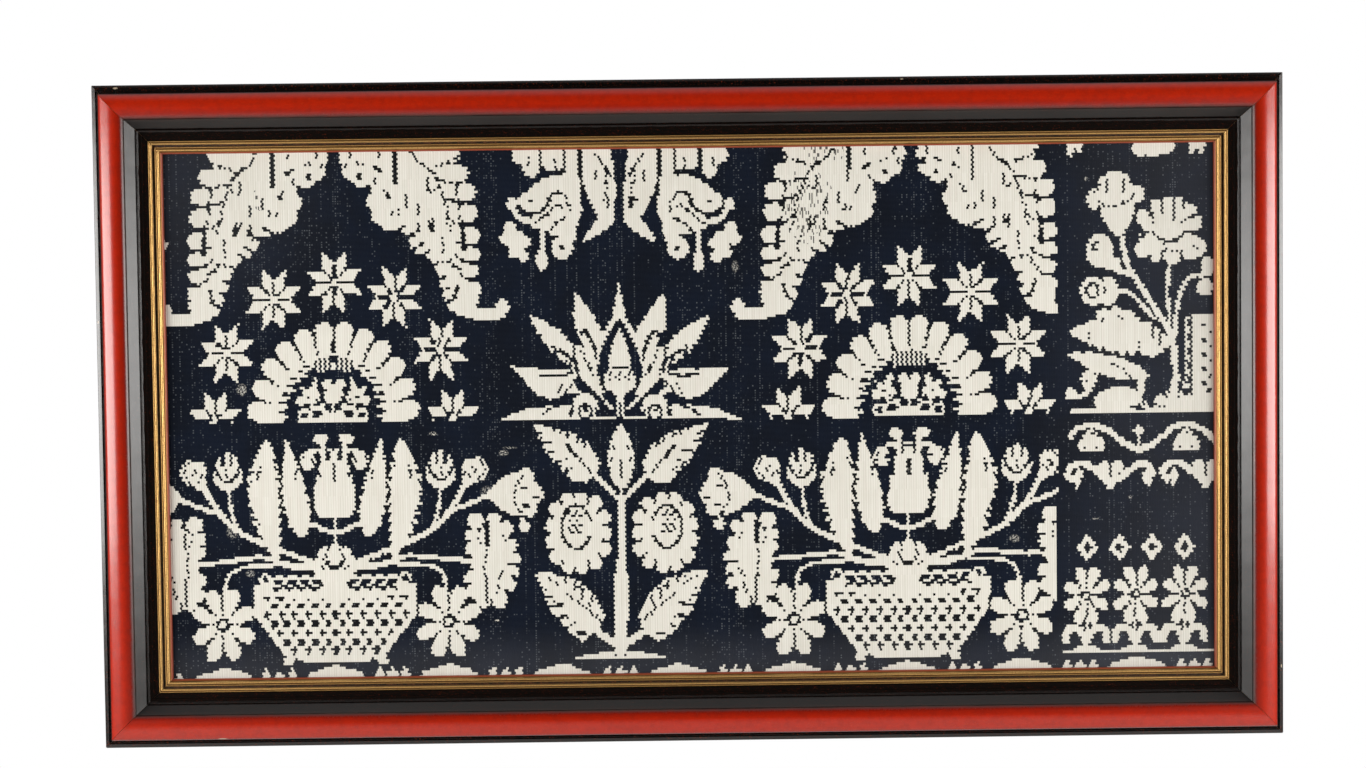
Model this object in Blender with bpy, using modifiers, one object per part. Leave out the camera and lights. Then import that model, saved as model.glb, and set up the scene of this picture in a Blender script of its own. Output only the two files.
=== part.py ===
"""A woven coverlet stretched in a mitred moulded frame with a gilt slip, hung face on."""

import math

import bmesh
import bpy
from mathutils import Matrix, Vector

# Driving dimensions, in metres. X runs along the frame, Z is up, and the back lies on Y = 0.
FRAME_WIDTH = 1.180
FRAME_HEIGHT = 0.660
GAP = 0.0003

# The moulding's section, measured in from its outer edge and up from its back.
RAIL_FACE = 0.0554
LIP_WIDTH = 0.0042
LIP_FOOT = 0.0112
LIP_HEIGHT = 0.0128
COVE_FOOT = 0.0112
COVE_END = 0.0100
COVE_HEIGHT = 0.0256
CUSHION_START = 0.0104
CUSHION_END = 0.0358
CUSHION_FOOT = 0.0262
CUSHION_TILT = 0.0020
CUSHION_RISE = 0.0064
BEVEL_END = 0.0436
BEVEL_LOW = 0.0202
BEAD_START = 0.0446
BEAD_END = 0.0468
BEAD_FOOT = 0.0192
BEAD_TOP = 0.0204
LEDGE_START = 0.0472
LEDGE_EDGE = 0.0500
LEDGE_LOW = 0.0186
LEDGE_HEIGHT = 0.0190
SIGHT_START = 0.0506
SIGHT_HEIGHT = 0.0180
SIGHT_EASE = 0.0004
RABBET_START = 0.0485
RABBET_HEIGHT = 0.0130

# The gilt slip: its flange lies in the rabbet, and its two reeded bands show past the sight edge.
SLIP_EDGE = 0.0682
SLIP_BACK = 0.0080
OUTER_REED_END = 0.0598
OUTER_REED_FOOT = 0.0166
OUTER_REED_TOP = 0.0180
INNER_REED_START = 0.0614
INNER_REED_END = 0.0660
INNER_REED_FOOT = 0.0134
INNER_REED_TOP = 0.0152
REED_GROOVE_HEIGHT = 0.0136
INNER_LIP_START = 0.0665
INNER_LIP_HEIGHT = 0.0122
INNER_LIP_DROP = 0.0020
INNER_LIP_EASE = 0.0005

# The cloth and the board behind it fill the rabbet.
RABBET_CLEARANCE = 0.0010
CLOTH_THICKNESS = 0.0016
CLOTH_SLACK = 0.0008
# The slack's share that is even, and two waves: share, turns across and turns up.
EVEN_SLACK = 0.62
SLACK_WAVES = ((0.22, 7.1, 1.3), (0.16, -2.6, 4.3))
CLOTH_COLUMNS = 28
CLOTH_ROWS = 14
BOARD_THICKNESS = SLIP_BACK - CLOTH_THICKNESS - 2 * GAP

LACQUER_RED = (0.170, 0.012, 0.010, 1.0)
GILT = (0.620, 0.330, 0.090, 1.0)
INDIGO = (0.018, 0.027, 0.055, 1.0)
BROWN_BOARD = (0.220, 0.130, 0.070, 1.0)

# Each side's name, its quarter turns about Y from the top, and whether it runs the frame's width.
SIDES = (("top", 0, True), ("right", 1, False), ("bottom", 2, True), ("left", 3, False))


def clear_scene():
    for obj in list(bpy.data.objects):
        bpy.data.objects.remove(obj, do_unlink=True)


def finish_of(name, colour, roughness, metallic=0.0):
    material = bpy.data.materials.new(name)
    material.use_nodes = True
    shader = material.node_tree.nodes["Principled BSDF"]
    shader.inputs["Base Color"].default_value = colour
    shader.inputs["Roughness"].default_value = roughness
    shader.inputs["Metallic"].default_value = metallic
    return material


def crown(start, end, foot, top, steps, tilt=0.0):
    """Half an ellipse from start to end, its far foot raised by the tilt, as (inset, height) pairs."""
    centre = (start + end) / 2
    half = (end - start) / 2
    points = []
    for step in range(steps + 1):
        angle = math.pi * (1 - step / steps)
        across = math.cos(angle)
        points.append((centre + half * across, foot + tilt * (1 + across) / 2 + (top - foot) * math.sin(angle)))
    return points


def cove(start, end, foot, top, steps):
    """A hollow quarter of an ellipse that leaves the lip flat and climbs to the cushion."""
    points = []
    for step in range(steps + 1):
        angle = math.pi / 2 * step / steps
        points.append((start + (end - start) * math.sin(angle), top - (top - foot) * math.cos(angle)))
    return points


def moulding_profile():
    """Lip, cove, cushion, bevel, bead, ledge and rabbet, from the outer edge in."""
    lip = crown(0.0, LIP_WIDTH, LIP_FOOT, LIP_HEIGHT, 6)
    hollow = cove(LIP_WIDTH, COVE_END, COVE_FOOT, COVE_HEIGHT, 6)[1:]
    cushion = crown(
        CUSHION_START, CUSHION_END, CUSHION_FOOT, CUSHION_FOOT + CUSHION_RISE, 16, tilt=CUSHION_TILT
    )
    bevel = [(BEVEL_END, BEVEL_LOW)]
    bead = crown(BEAD_START, BEAD_END, BEAD_FOOT, BEAD_TOP, 5)
    ledge = [
        (LEDGE_START, LEDGE_LOW),
        (LEDGE_EDGE, LEDGE_HEIGHT),
        (SIGHT_START, SIGHT_HEIGHT),
        (RAIL_FACE - SIGHT_EASE, SIGHT_HEIGHT),
        (RAIL_FACE, SIGHT_HEIGHT - SIGHT_EASE),
    ]
    rabbet = [(RAIL_FACE, RABBET_HEIGHT), (RABBET_START, RABBET_HEIGHT), (RABBET_START, 0.0)]
    return [(0.0, 0.0)] + lip + hollow + cushion + bevel + bead + ledge + rabbet


def slip_profile():
    """Flange, two reeded bands with a groove between them, and a rounded inner lip."""
    flange_start = RABBET_START + RABBET_CLEARANCE
    flange_top = RABBET_HEIGHT - GAP
    flange = [(flange_start, SLIP_BACK), (flange_start, flange_top), (RAIL_FACE + GAP, flange_top)]
    outer_reed = crown(RAIL_FACE + GAP, OUTER_REED_END, OUTER_REED_FOOT, OUTER_REED_TOP, 6)
    groove = [(OUTER_REED_END, REED_GROOVE_HEIGHT), (INNER_REED_START, REED_GROOVE_HEIGHT)]
    inner_reed = crown(INNER_REED_START, INNER_REED_END, INNER_REED_FOOT, INNER_REED_TOP, 6)
    inner_lip = [
        (INNER_LIP_START, INNER_LIP_HEIGHT),
        (SLIP_EDGE - INNER_LIP_EASE, INNER_LIP_HEIGHT - INNER_LIP_DROP / 2),
        (SLIP_EDGE, INNER_LIP_HEIGHT - INNER_LIP_DROP),
        (SLIP_EDGE, SLIP_BACK),
    ]
    return flange + outer_reed + groove + inner_reed + inner_lip


def saw(mesh, point, normal):
    """Cuts the stick on a plane, drops what lies on the normal's side and closes the cut."""
    stick = mesh.verts[:] + mesh.edges[:] + mesh.faces[:]
    cut = bmesh.ops.bisect_plane(mesh, geom=stick, plane_co=point, plane_no=normal, clear_outer=True)
    rim = [item for item in cut["geom_cut"] if isinstance(item, bmesh.types.BMEdge)]
    bmesh.ops.contextual_create(mesh, geom=rim)


def mitred_stick(profile, length, distance, quarter_turns):
    """A stick along the top side, mitred at both ends and turned about Y to the side it belongs on."""
    mesh = bmesh.new()
    section = [mesh.verts.new((-length / 2, -height, distance - inset)) for inset, height in profile]
    run = bmesh.ops.extrude_face_region(mesh, geom=[mesh.faces.new(section)])
    far_end = [item for item in run["geom"] if isinstance(item, bmesh.types.BMVert)]
    bmesh.ops.translate(mesh, verts=far_end, vec=(length, 0.0, 0.0))
    bmesh.ops.recalc_face_normals(mesh, faces=mesh.faces[:])
    for sign in (-1, 1):
        corner = Vector((sign * (length / 2 - GAP / math.sqrt(2)), 0.0, distance))
        saw(mesh, corner, Vector((sign, 0.0, -1.0)).normalized())
    turn = Matrix.Rotation(quarter_turns * math.pi / 2, 3, "Y")
    bmesh.ops.rotate(mesh, verts=mesh.verts[:], cent=(0.0, 0.0, 0.0), matrix=turn)
    bmesh.ops.recalc_face_normals(mesh, faces=mesh.faces[:])
    return mesh


def add_object(name, mesh, material, collection):
    data = bpy.data.meshes.new(name)
    mesh.to_mesh(data)
    mesh.free()
    data.materials.append(material)
    obj = bpy.data.objects.new(name, data)
    collection.objects.link(obj)
    return obj


def add_sides(prefix, profile, material, collection):
    for side, quarter_turns, runs_across in SIDES:
        length, across = (FRAME_WIDTH, FRAME_HEIGHT) if runs_across else (FRAME_HEIGHT, FRAME_WIDTH)
        mesh = mitred_stick(profile, length, across / 2, quarter_turns)
        add_object(f"{prefix}_{side}", mesh, material, collection)


def slack_at(x, z):
    """How far the stretched cloth stands forward: nothing at the slip, soft waves between."""
    u = x / (FRAME_WIDTH / 2 - SLIP_EDGE)
    v = z / (FRAME_HEIGHT / 2 - SLIP_EDGE)
    if abs(u) >= 1 or abs(v) >= 1:
        return 0.0
    held = (1 - u**4) * (1 - v**4)
    waves = sum(share * math.sin(across * u + up * v) for share, across, up in SLACK_WAVES)
    return CLOTH_SLACK * held * (EVEN_SLACK + waves)


def inside_rabbet(size):
    return size - 2 * (RABBET_START + RABBET_CLEARANCE)


def add_coverlet(material, collection):
    """The cloth: one sheet, held flat by the slip and a little slack inside it."""
    mesh = bmesh.new()
    turn = Matrix.Rotation(math.pi / 2, 4, "X")
    bmesh.ops.create_grid(mesh, x_segments=CLOTH_COLUMNS, y_segments=CLOTH_ROWS, size=0.5, matrix=turn)
    for vert in mesh.verts:
        vert.co.x *= inside_rabbet(FRAME_WIDTH)
        vert.co.z *= inside_rabbet(FRAME_HEIGHT)
        vert.co.y = GAP - SLIP_BACK - slack_at(vert.co.x, vert.co.z)
    sheet = add_object("coverlet", mesh, material, collection)
    thickness = sheet.modifiers.new("Thickness", "SOLIDIFY")
    thickness.thickness = CLOTH_THICKNESS
    thickness.offset = -1.0
    return sheet


def add_board(material, collection):
    """The plain board that closes the back, flush with the frame's back."""
    mesh = bmesh.new()
    size = (inside_rabbet(FRAME_WIDTH), BOARD_THICKNESS, inside_rabbet(FRAME_HEIGHT))
    bmesh.ops.create_cube(mesh, size=1.0, matrix=Matrix.Diagonal((*size, 1.0)))
    bmesh.ops.translate(mesh, verts=mesh.verts[:], vec=(0.0, -BOARD_THICKNESS / 2, 0.0))
    return add_object("backing_board", mesh, material, collection)


def main():
    clear_scene()
    collection = bpy.data.collections.new("framed_coverlet")
    bpy.context.scene.collection.children.link(collection)
    add_sides("frame", moulding_profile(), finish_of("lacquered_moulding", LACQUER_RED, 0.22), collection)
    add_sides("slip", slip_profile(), finish_of("gilt_slip", GILT, 0.38, 0.9), collection)
    add_coverlet(finish_of("woven_cloth", INDIGO, 0.9), collection)
    add_board(finish_of("backing", BROWN_BOARD, 0.8), collection)


main()
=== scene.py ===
"""The framed coverlet dressed for the camera: woven cloth, gilt slip, lacquered moulding and studio."""

from __future__ import annotations

import logging
import math
from collections.abc import Callable, Iterable, Sequence
from dataclasses import dataclass, field
from enum import Enum

import bmesh
import bpy
import numpy as np
from mathutils import Matrix, Vector


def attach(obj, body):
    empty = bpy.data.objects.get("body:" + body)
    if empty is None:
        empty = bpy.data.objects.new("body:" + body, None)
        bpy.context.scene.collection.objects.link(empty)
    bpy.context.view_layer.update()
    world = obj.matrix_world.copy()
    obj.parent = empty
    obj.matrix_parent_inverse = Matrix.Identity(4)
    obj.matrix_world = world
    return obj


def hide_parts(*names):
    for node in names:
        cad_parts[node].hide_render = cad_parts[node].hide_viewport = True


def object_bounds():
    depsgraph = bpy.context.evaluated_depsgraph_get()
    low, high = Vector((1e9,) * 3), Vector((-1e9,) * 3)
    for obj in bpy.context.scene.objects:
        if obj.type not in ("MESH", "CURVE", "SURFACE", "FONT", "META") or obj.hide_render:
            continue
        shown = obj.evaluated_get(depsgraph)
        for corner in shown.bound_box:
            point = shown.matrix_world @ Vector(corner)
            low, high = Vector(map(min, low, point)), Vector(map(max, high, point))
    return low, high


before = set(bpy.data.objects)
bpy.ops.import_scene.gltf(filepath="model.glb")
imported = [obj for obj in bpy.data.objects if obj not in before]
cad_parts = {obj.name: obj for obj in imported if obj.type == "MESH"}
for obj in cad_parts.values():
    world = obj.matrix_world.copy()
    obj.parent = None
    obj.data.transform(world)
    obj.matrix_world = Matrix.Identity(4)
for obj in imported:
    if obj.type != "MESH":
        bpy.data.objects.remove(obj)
CAD_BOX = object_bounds()

LOG = logging.getLogger("framed_coverlet")
BODY = "root"

Point = tuple[float, float]
Colour = tuple[float, float, float]
Area = np.ndarray
Socket = bpy.types.NodeSocket

FRAME_WIDTH = CAD_BOX[1][0] - CAD_BOX[0][0]
FRAME_HEIGHT = CAD_BOX[1][2] - CAD_BOX[0][2]
GAP = 0.0003
MM = 0.001


class Side(Enum):
    """A side of the frame: its quarter turns about Y from the top, and whether it runs the frame's width."""

    TOP = (0, True)
    RIGHT = (1, False)
    BOTTOM = (2, True)
    LEFT = (3, False)

    @property
    def length(self) -> float:
        """The stick's length over its outer edge, in metres."""
        return FRAME_WIDTH if self.value[1] else FRAME_HEIGHT

    @property
    def reach(self) -> float:
        """How far the stick's outer edge lies from the frame's centre, in metres."""
        return (FRAME_HEIGHT if self.value[1] else FRAME_WIDTH) / 2

    @property
    def turn(self) -> Matrix:
        """The turn that takes a stick modelled along the top to this side."""
        return Matrix.Rotation(self.value[0] * math.pi / 2, 3, "Y")


class Wiring:
    """Lays shader nodes in one node tree and joins them."""

    def __init__(self, tree: bpy.types.NodeTree) -> None:
        """Starts from an empty tree.

        Args:
            tree: the node tree of a material or a world.
        """
        self.tree = tree
        tree.nodes.clear()
        self._places: dict[str, Socket] = {}

    def add(self, kind: str, **settings: object) -> bpy.types.Node:
        """Adds a node.

        Args:
            kind: the node's type name, without its ShaderNode prefix.
            settings: the node's own properties.

        Returns:
            The new node.
        """
        node = self.tree.nodes.new("ShaderNode" + kind)
        for name, value in settings.items():
            setattr(node, name, value)
        return node

    def feed(self, node: bpy.types.Node, inputs: dict[str | int, object]) -> bpy.types.Node:
        """Sets or joins a node's inputs.

        Args:
            node: the node to feed.
            inputs: a socket to join or a plain value, by the input's name or number.

        Returns:
            The same node.
        """
        for key, value in inputs.items():
            if isinstance(value, bpy.types.NodeSocket):
                self.tree.links.new(value, node.inputs[key])
            elif isinstance(value, tuple) and len(value) == 3 and node.inputs[key].type == "RGBA":
                node.inputs[key].default_value = (*value, 1.0)
            else:
                node.inputs[key].default_value = value
        return node

    def math(self, operation: str, *terms: Socket | float, clamp: bool = False) -> Socket:
        """A Math node on the given terms."""
        node = self.add("Math", operation=operation, use_clamp=clamp)
        return self.feed(node, dict(enumerate(terms))).outputs[0]

    def sum(self, *terms: Socket | float) -> Socket:
        """The terms added up."""
        total = terms[0]
        for term in terms[1:]:
            total = self.math("ADD", total, term)
        return total

    def product(self, *terms: Socket | float) -> Socket:
        """The terms multiplied together."""
        total = terms[0]
        for term in terms[1:]:
            total = self.math("MULTIPLY", total, term)
        return total

    def whole(self, value: Socket, pitch: float) -> Socket:
        """How many whole pitches there are in a value."""
        return self.math("FLOOR", self.math("DIVIDE", value, pitch))

    def rise(self, value: Socket, low: float, high: float, start: float = 0.0, end: float = 1.0) -> Socket:
        """Eases from start to end as the value goes from low to high."""
        node = self.add("MapRange", interpolation_type="SMOOTHSTEP")
        return self.feed(node, {0: value, 1: low, 2: high, 3: start, 4: end}).outputs[0]

    def blend(self, share: Socket | float, first: Socket | Colour, second: Socket | Colour) -> Socket:
        """The first colour turning into the second as the share goes from 0 to 1."""
        node = self.add("Mix", data_type="RGBA")
        return self.feed(node, {0: share, 6: first, 7: second}).outputs[2]

    def bands(self, value: Socket, stops: Sequence[tuple[float, Colour]], length: float) -> Socket:
        """A colour ramp along a length.

        Args:
            value: where to read the ramp, in the stops' own unit.
            stops: places and colours, in order.
            length: the place at which the ramp ends.

        Returns:
            The colour.
        """
        node = self.add("ValToRGB")
        node.color_ramp.elements.remove(node.color_ramp.elements[1])
        for number, (place, colour) in enumerate(stops):
            ramp = node.color_ramp.elements
            stop = ramp[0] if number == 0 else ramp.new(place / length)
            stop.position = place / length
            stop.color = (*colour, 1.0)
        return self.feed(node, {0: self.math("DIVIDE", value, length)}).outputs[0]

    def place(self) -> Socket:
        """The point on the piece, in metres."""
        if "object" not in self._places:
            self._places["object"] = self.add("TexCoord").outputs["Object"]
        return self._places["object"]

    def axis(self, letter: str) -> Socket:
        """One coordinate of the point on the piece, in metres."""
        if letter not in self._places:
            parts = self.feed(self.add("SeparateXYZ"), {0: self.place()})
            self._places.update(zip("xyz", parts.outputs))
        return self._places[letter]

    def noise(self, grain: Sequence[float] | float, detail: float = 2.0, roughness: float = 0.5) -> Socket:
        """Soft noise from 0 to 1.

        Args:
            grain: the size of its lumps in metres, as one number or along X, Y and Z.
            detail: how many finer layers it has.
            roughness: how strong those layers are.

        Returns:
            The noise's strength.
        """
        sizes = (grain,) * 3 if isinstance(grain, float) else grain
        scaled = self.add("VectorMath", operation="MULTIPLY")
        self.feed(scaled, {0: self.place(), 1: tuple(1.0 / size for size in sizes)})
        node = self.add("TexNoise")
        return self.feed(node, {
            "Vector": scaled.outputs[0], "Scale": 1.0, "Detail": detail, "Roughness": roughness,
        }).outputs[0]

    def lot(self, across: Socket | float, up: Socket | float, seed: float) -> Socket:
        """A number from 0 to 1 drawn for each pair of whole numbers."""
        pair = self.feed(self.add("CombineXYZ"), {0: across, 1: up, 2: seed})
        node = self.add("TexWhiteNoise", noise_dimensions="3D")
        return self.feed(node, {0: pair.outputs[0]}).outputs[0]

    def patch(self, x: float, z: float, rx: float, rz: float) -> Socket:
        """A soft oval that is 1 at its centre and 0 at its rim, its place and radii in millimetres."""
        across = self.math("DIVIDE", self.math("SUBTRACT", self.axis("x"), x * MM), rx * MM)
        up = self.math("DIVIDE", self.math("SUBTRACT", self.axis("z"), z * MM), rz * MM)
        square = self.sum(self.math("POWER", self.math("ABSOLUTE", across), 2.0),
                          self.math("POWER", self.math("ABSOLUTE", up), 2.0))
        return self.rise(square, 1.0, 0.15)

    def bump(self, height: Socket, strength: float, distance: float, normal: Socket | None = None) -> Socket:
        """A bumped normal.

        Args:
            height: the relief, from 0 to 1.
            strength: the share of the relief that shows.
            distance: the relief's height in metres.
            normal: a normal that is already bumped.

        Returns:
            The new normal.
        """
        node = self.feed(self.add("Bump"), {"Strength": strength, "Distance": distance, "Height": height})
        if normal is not None:
            self.feed(node, {"Normal": normal})
        return node.outputs[0]

    def finish(self, inputs: dict[str | int, object]) -> None:
        """Ends a material's tree with a Principled shader fed by the inputs."""
        shader = self.feed(self.add("BsdfPrincipled"), inputs)
        output = self.add("OutputMaterial")
        self.tree.links.new(shader.outputs[0], output.inputs[0])


def new_material(name: str) -> tuple[bpy.types.Material, Wiring]:
    """A new material and the wiring of its empty tree."""
    material = bpy.data.materials.new(name)
    material.use_nodes = True
    return material, Wiring(material.node_tree)


def edge_distances(wiring: Wiring) -> tuple[Socket, Socket]:
    """How far a point lies in from the nearer side, and from the top or bottom, in metres."""
    return (wiring.math("SUBTRACT", FRAME_WIDTH / 2, wiring.math("ABSOLUTE", wiring.axis("x"))),
            wiring.math("SUBTRACT", FRAME_HEIGHT / 2, wiring.math("ABSOLUTE", wiring.axis("z"))))


def inset_of(wiring: Wiring) -> Socket:
    """How far a point lies in from the frame's outer edge, in millimetres."""
    return wiring.math("DIVIDE", wiring.math("MINIMUM", *edge_distances(wiring)), MM)


@dataclass(frozen=True)
class BareWood:
    """Unfinished softwood, on the back and in the rabbet."""

    early: Colour = (0.50, 0.33, 0.17)
    late: Colour = (0.30, 0.17, 0.075)
    roughness: float = 0.75

    def material(self) -> bpy.types.Material:
        """The wood, its grain along each stick."""
        material, wiring = new_material("bare_softwood")
        upright = wiring.math("LESS_THAN", *edge_distances(wiring))
        across = wiring.noise((0.30, 0.004, 0.0035), detail=3.0, roughness=0.55)
        up = wiring.noise((0.0035, 0.004, 0.30), detail=3.0, roughness=0.55)
        grain = wiring.sum(across, wiring.product(upright, wiring.math("SUBTRACT", up, across)))
        fibre = wiring.noise(0.0012, detail=2.0)
        rings = wiring.rise(wiring.sum(grain, wiring.product(fibre, 0.12)), 0.42, 0.72)
        colour = wiring.blend(rings, self.early, self.late)
        wiring.finish({
            "Base Color": colour, "Roughness": self.roughness,
            "Normal": wiring.bump(fibre, 0.5, 0.0002),
        })
        return material


@dataclass(frozen=True)
class Lacquer:
    """Red and black lacquer: glossy on the cushion, satin on the bevel, rubbed and chipped in places."""

    red: Colour = (0.46, 0.0160, 0.0016)
    deep_red: Colour = (0.29, 0.0090, 0.0012)
    black: Colour = (0.0030, 0.0022, 0.0017)
    brown_black: Colour = (0.014, 0.006, 0.0042)
    fleck: Colour = (0.62, 0.090, 0.020)
    chip: Colour = (0.55, 0.43, 0.30)
    gloss: float = 0.12
    coat: float = 0.28
    red_start: float = 10.2
    red_end: float = 34.4
    bevel_end: float = 44.0
    ledge_start: float = 47.1
    chips: tuple[tuple[float, float, float, float], ...] = (
        (-469.0, -318.5, 5.5, 0.9), (-566.0, 327.0, 3.0, 1.2), (212.0, 327.4, 2.0, 0.8),
        (588.0, -262.0, 0.9, 2.2), (-588.0, 96.0, 0.8, 1.8),
    )

    def material(self) -> bpy.types.Material:
        """The lacquer in its bands, from the outer edge in."""
        material, wiring = new_material("red_and_black_lacquer")
        uneven = wiring.math("SUBTRACT", wiring.noise(0.011, detail=3.0), 0.5)
        inset = wiring.sum(inset_of(wiring), wiring.product(uneven, 1.6))
        colour = wiring.bands(inset, (
            (0.0, self.black), (self.red_start - 0.5, self.black), (self.red_start + 0.5, self.deep_red),
            (self.red_start + 3.0, self.red), (25.0, self.red), (self.red_end - 3.0, self.deep_red),
            (self.red_end + 1.2, self.brown_black), (self.red_end + 4.0, self.black), (66.0, self.black),
        ), 66.0)
        mottle = wiring.noise(0.006, detail=5.0, roughness=0.65)
        flecks = wiring.rise(wiring.noise(0.0011, detail=1.0), 0.60, 0.80)
        aged = wiring.blend(wiring.rise(mottle, 0.35, 0.75, 0.0, 0.22), colour, self.brown_black)
        on_red = wiring.rise(inset, self.red_end, self.red_start, 0.10, 0.30)
        worn = wiring.blend(wiring.product(flecks, on_red), aged, self.fleck)
        for x, z, rx, rz in self.chips:
            worn = wiring.blend(wiring.product(wiring.patch(x, z, rx, rz), 0.85), worn, self.chip)
        satin = wiring.product(wiring.rise(inset, self.red_end - 4.0, self.red_end + 2.0),
                               wiring.rise(inset, self.bevel_end + 0.6, self.bevel_end - 0.6))
        ledge = wiring.rise(inset, self.ledge_start - 0.3, self.ledge_start + 0.3)
        gloss = wiring.rise(inset, self.red_end, self.red_end - 4.0, 0.0, self.coat)
        fine = wiring.noise(0.0007, detail=2.0, roughness=0.7)
        roughness = wiring.sum(0.20, wiring.product(satin, 0.05), wiring.product(ledge, 0.30),
                               wiring.product(mottle, 0.06), wiring.product(fine, 0.05))
        normal = wiring.bump(fine, 0.22, 0.00006)
        normal = wiring.bump(wiring.noise(0.020, detail=1.0), 0.18, 0.0012, normal)
        wiring.finish({
            "Base Color": worn, "Roughness": roughness, "Normal": normal,
            "Specular IOR Level": wiring.sum(wiring.rise(ledge, 0.0, 1.0, 0.5, 0.03),
                                             wiring.product(satin, 0.14)),
            "Coat Weight": gloss, "Coat Roughness": self.gloss, "Coat IOR": 1.5,
        })
        return material


@dataclass(frozen=True)
class Gilding:
    """Rubbed metal leaf over red bole, with painted shade: near-black in the groove between the slip's two
    bands and darker gold in the valley of each reed.
    """

    gold: Colour = (0.74, 0.46, 0.16)
    # Dark rubbed gold: the colour of bare rubs, and painted shade in the valley of each reed.
    worn_gold_and_valley_shade: Colour = (0.22, 0.105, 0.028)
    bole: Colour = (0.30, 0.045, 0.015)
    # Near-black: painted shade in the groove between the two bands, also on the slip's hidden outer part.
    line: Colour = (0.010, 0.006, 0.003)
    outer_edge: float = 55.2
    groove: tuple[float, float] = (60.0, 61.4)
    inner_edge: float = 66.4
    slip_edge: float = 68.4

    def material(self) -> bpy.types.Material:
        """The gilding in its bands, from the sight edge in, the painted shade of the groove and the reed
        valleys among them.
        """
        material, wiring = new_material("rubbed_gilding")
        uneven = wiring.math("SUBTRACT", wiring.noise(0.004, detail=3.0), 0.5)
        inset = wiring.sum(inset_of(wiring), wiring.product(uneven, 0.5))
        start, end = self.groove
        # Painted shade in the bands: near-black in the groove, darker gold in each reed's valley.
        colour = wiring.bands(inset, (
            (0.0, self.line), (self.outer_edge, self.line), (self.outer_edge + 0.5, self.worn_gold_and_valley_shade),
            (self.outer_edge + 1.0, self.gold), (56.8, self.gold), (57.1, self.worn_gold_and_valley_shade),
            (57.6, self.worn_gold_and_valley_shade), (58.0, self.gold), (start - 0.9, self.gold), (start - 0.1, self.line),
            (end, self.line), (end + 0.6, self.gold),
            (62.7, self.gold), (63.0, self.worn_gold_and_valley_shade), (63.6, self.worn_gold_and_valley_shade), (64.0, self.gold),
            (self.inner_edge - 0.8, self.gold),
            (self.inner_edge + 0.2, self.worn_gold_and_valley_shade), (self.inner_edge + 1.0, self.bole),
            (self.slip_edge, self.bole),
        ), 69.0)
        rub = wiring.noise(0.0016, detail=4.0, roughness=0.75)
        along = wiring.noise((0.0008, 0.004, 0.0008), detail=3.0, roughness=0.8)
        bare = wiring.rise(wiring.sum(rub, wiring.product(along, 0.5)), 0.70, 0.98, 0.0, 0.75)
        colour = wiring.blend(bare, colour, wiring.blend(0.5, self.bole, self.worn_gold_and_valley_shade))
        metal = wiring.product(wiring.rise(inset, self.outer_edge, self.outer_edge + 0.6),
                               wiring.rise(inset, self.slip_edge - 0.5, self.inner_edge),
                               wiring.rise(bare, 0.8, 0.1, 0.25, 0.90))
        # The groove's painted shade also takes the metal away there.
        in_groove = wiring.product(wiring.rise(inset, start - 0.6, start),
                                   wiring.rise(inset, end + 0.5, end))
        metal = wiring.product(metal, wiring.math("SUBTRACT", 1.0, in_groove))
        roughness = wiring.sum(0.30, wiring.product(bare, 0.35), wiring.product(along, 0.10))
        normal = wiring.bump(rub, 0.45, 0.00018)
        wiring.finish({"Base Color": colour, "Metallic": metal, "Roughness": roughness, "Normal": normal})
        return material


@dataclass(frozen=True)
class FibreBoard:
    """The plain brown board that closes the back."""

    colour: Colour = (0.23, 0.135, 0.070)
    dark: Colour = (0.14, 0.080, 0.042)
    pale: Colour = (0.36, 0.25, 0.15)

    def material(self) -> bpy.types.Material:
        """Pressed fibres, a little mottled."""
        material, wiring = new_material("brown_fibre_board")
        cloud = wiring.noise(0.055, detail=5.0, roughness=0.6)
        fibres = wiring.noise((0.0009, 0.003, 0.0035), detail=4.0, roughness=0.7)
        colour = wiring.blend(wiring.rise(cloud, 0.3, 0.7, 0.0, 0.6), self.colour, self.dark)
        colour = wiring.blend(wiring.rise(fibres, 0.55, 0.80, 0.0, 0.7), colour, self.pale)
        wiring.finish({
            "Base Color": colour, "Roughness": 0.85,
            "Normal": wiring.bump(fibres, 0.5, 0.0003),
        })
        return material


def ellipse_half(
    start: float, end: float, foot: float, top: float, steps: int, tilt: float = 0.0
) -> list[Point]:
    """Half an ellipse of a section.

    Args:
        start: where it starts, in from the frame's outer edge.
        end: where it ends.
        foot: the height of its ends above the back.
        top: the height of its crest.
        steps: how many chords it has.
        tilt: how much higher its far foot is.

    Returns:
        Its (inset, height) points.
    """
    centre, half = (start + end) / 2, (end - start) / 2
    points = []
    for step in range(steps + 1):
        angle = math.pi * (1 - step / steps)
        across = math.cos(angle)
        height = foot + tilt * (1 + across) / 2 + (top - foot) * math.sin(angle)
        points.append((centre + half * across, height))
    return points


def eased(points: Sequence[Point], radius: float, steps: int = 3) -> list[Point]:
    """An open section with its inner corners rounded.

    Args:
        points: the section's (inset, height) points.
        radius: how far from a corner its rounding starts, at most.
        steps: how many chords a rounding has.

    Returns:
        The points with each sharp corner replaced by a small curve.
    """
    smooth = [points[0]]
    for before, corner, after in zip(points, points[1:], points[2:]):
        a, b, c = Vector(before), Vector(corner), Vector(after)
        reach = min(radius, (a - b).length * 0.45, (c - b).length * 0.45)
        if (a - b).angle(b - c, 0.0) < math.radians(20):
            smooth.append(corner)
            continue
        enter, leave = b + (a - b).normalized() * reach, b + (c - b).normalized() * reach
        for step in range(steps + 1):
            share = step / steps
            point = enter.lerp(b, share).lerp(b.lerp(leave, share), share)
            smooth.append((point.x, point.y))
    return smooth + [points[-1]]


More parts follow.
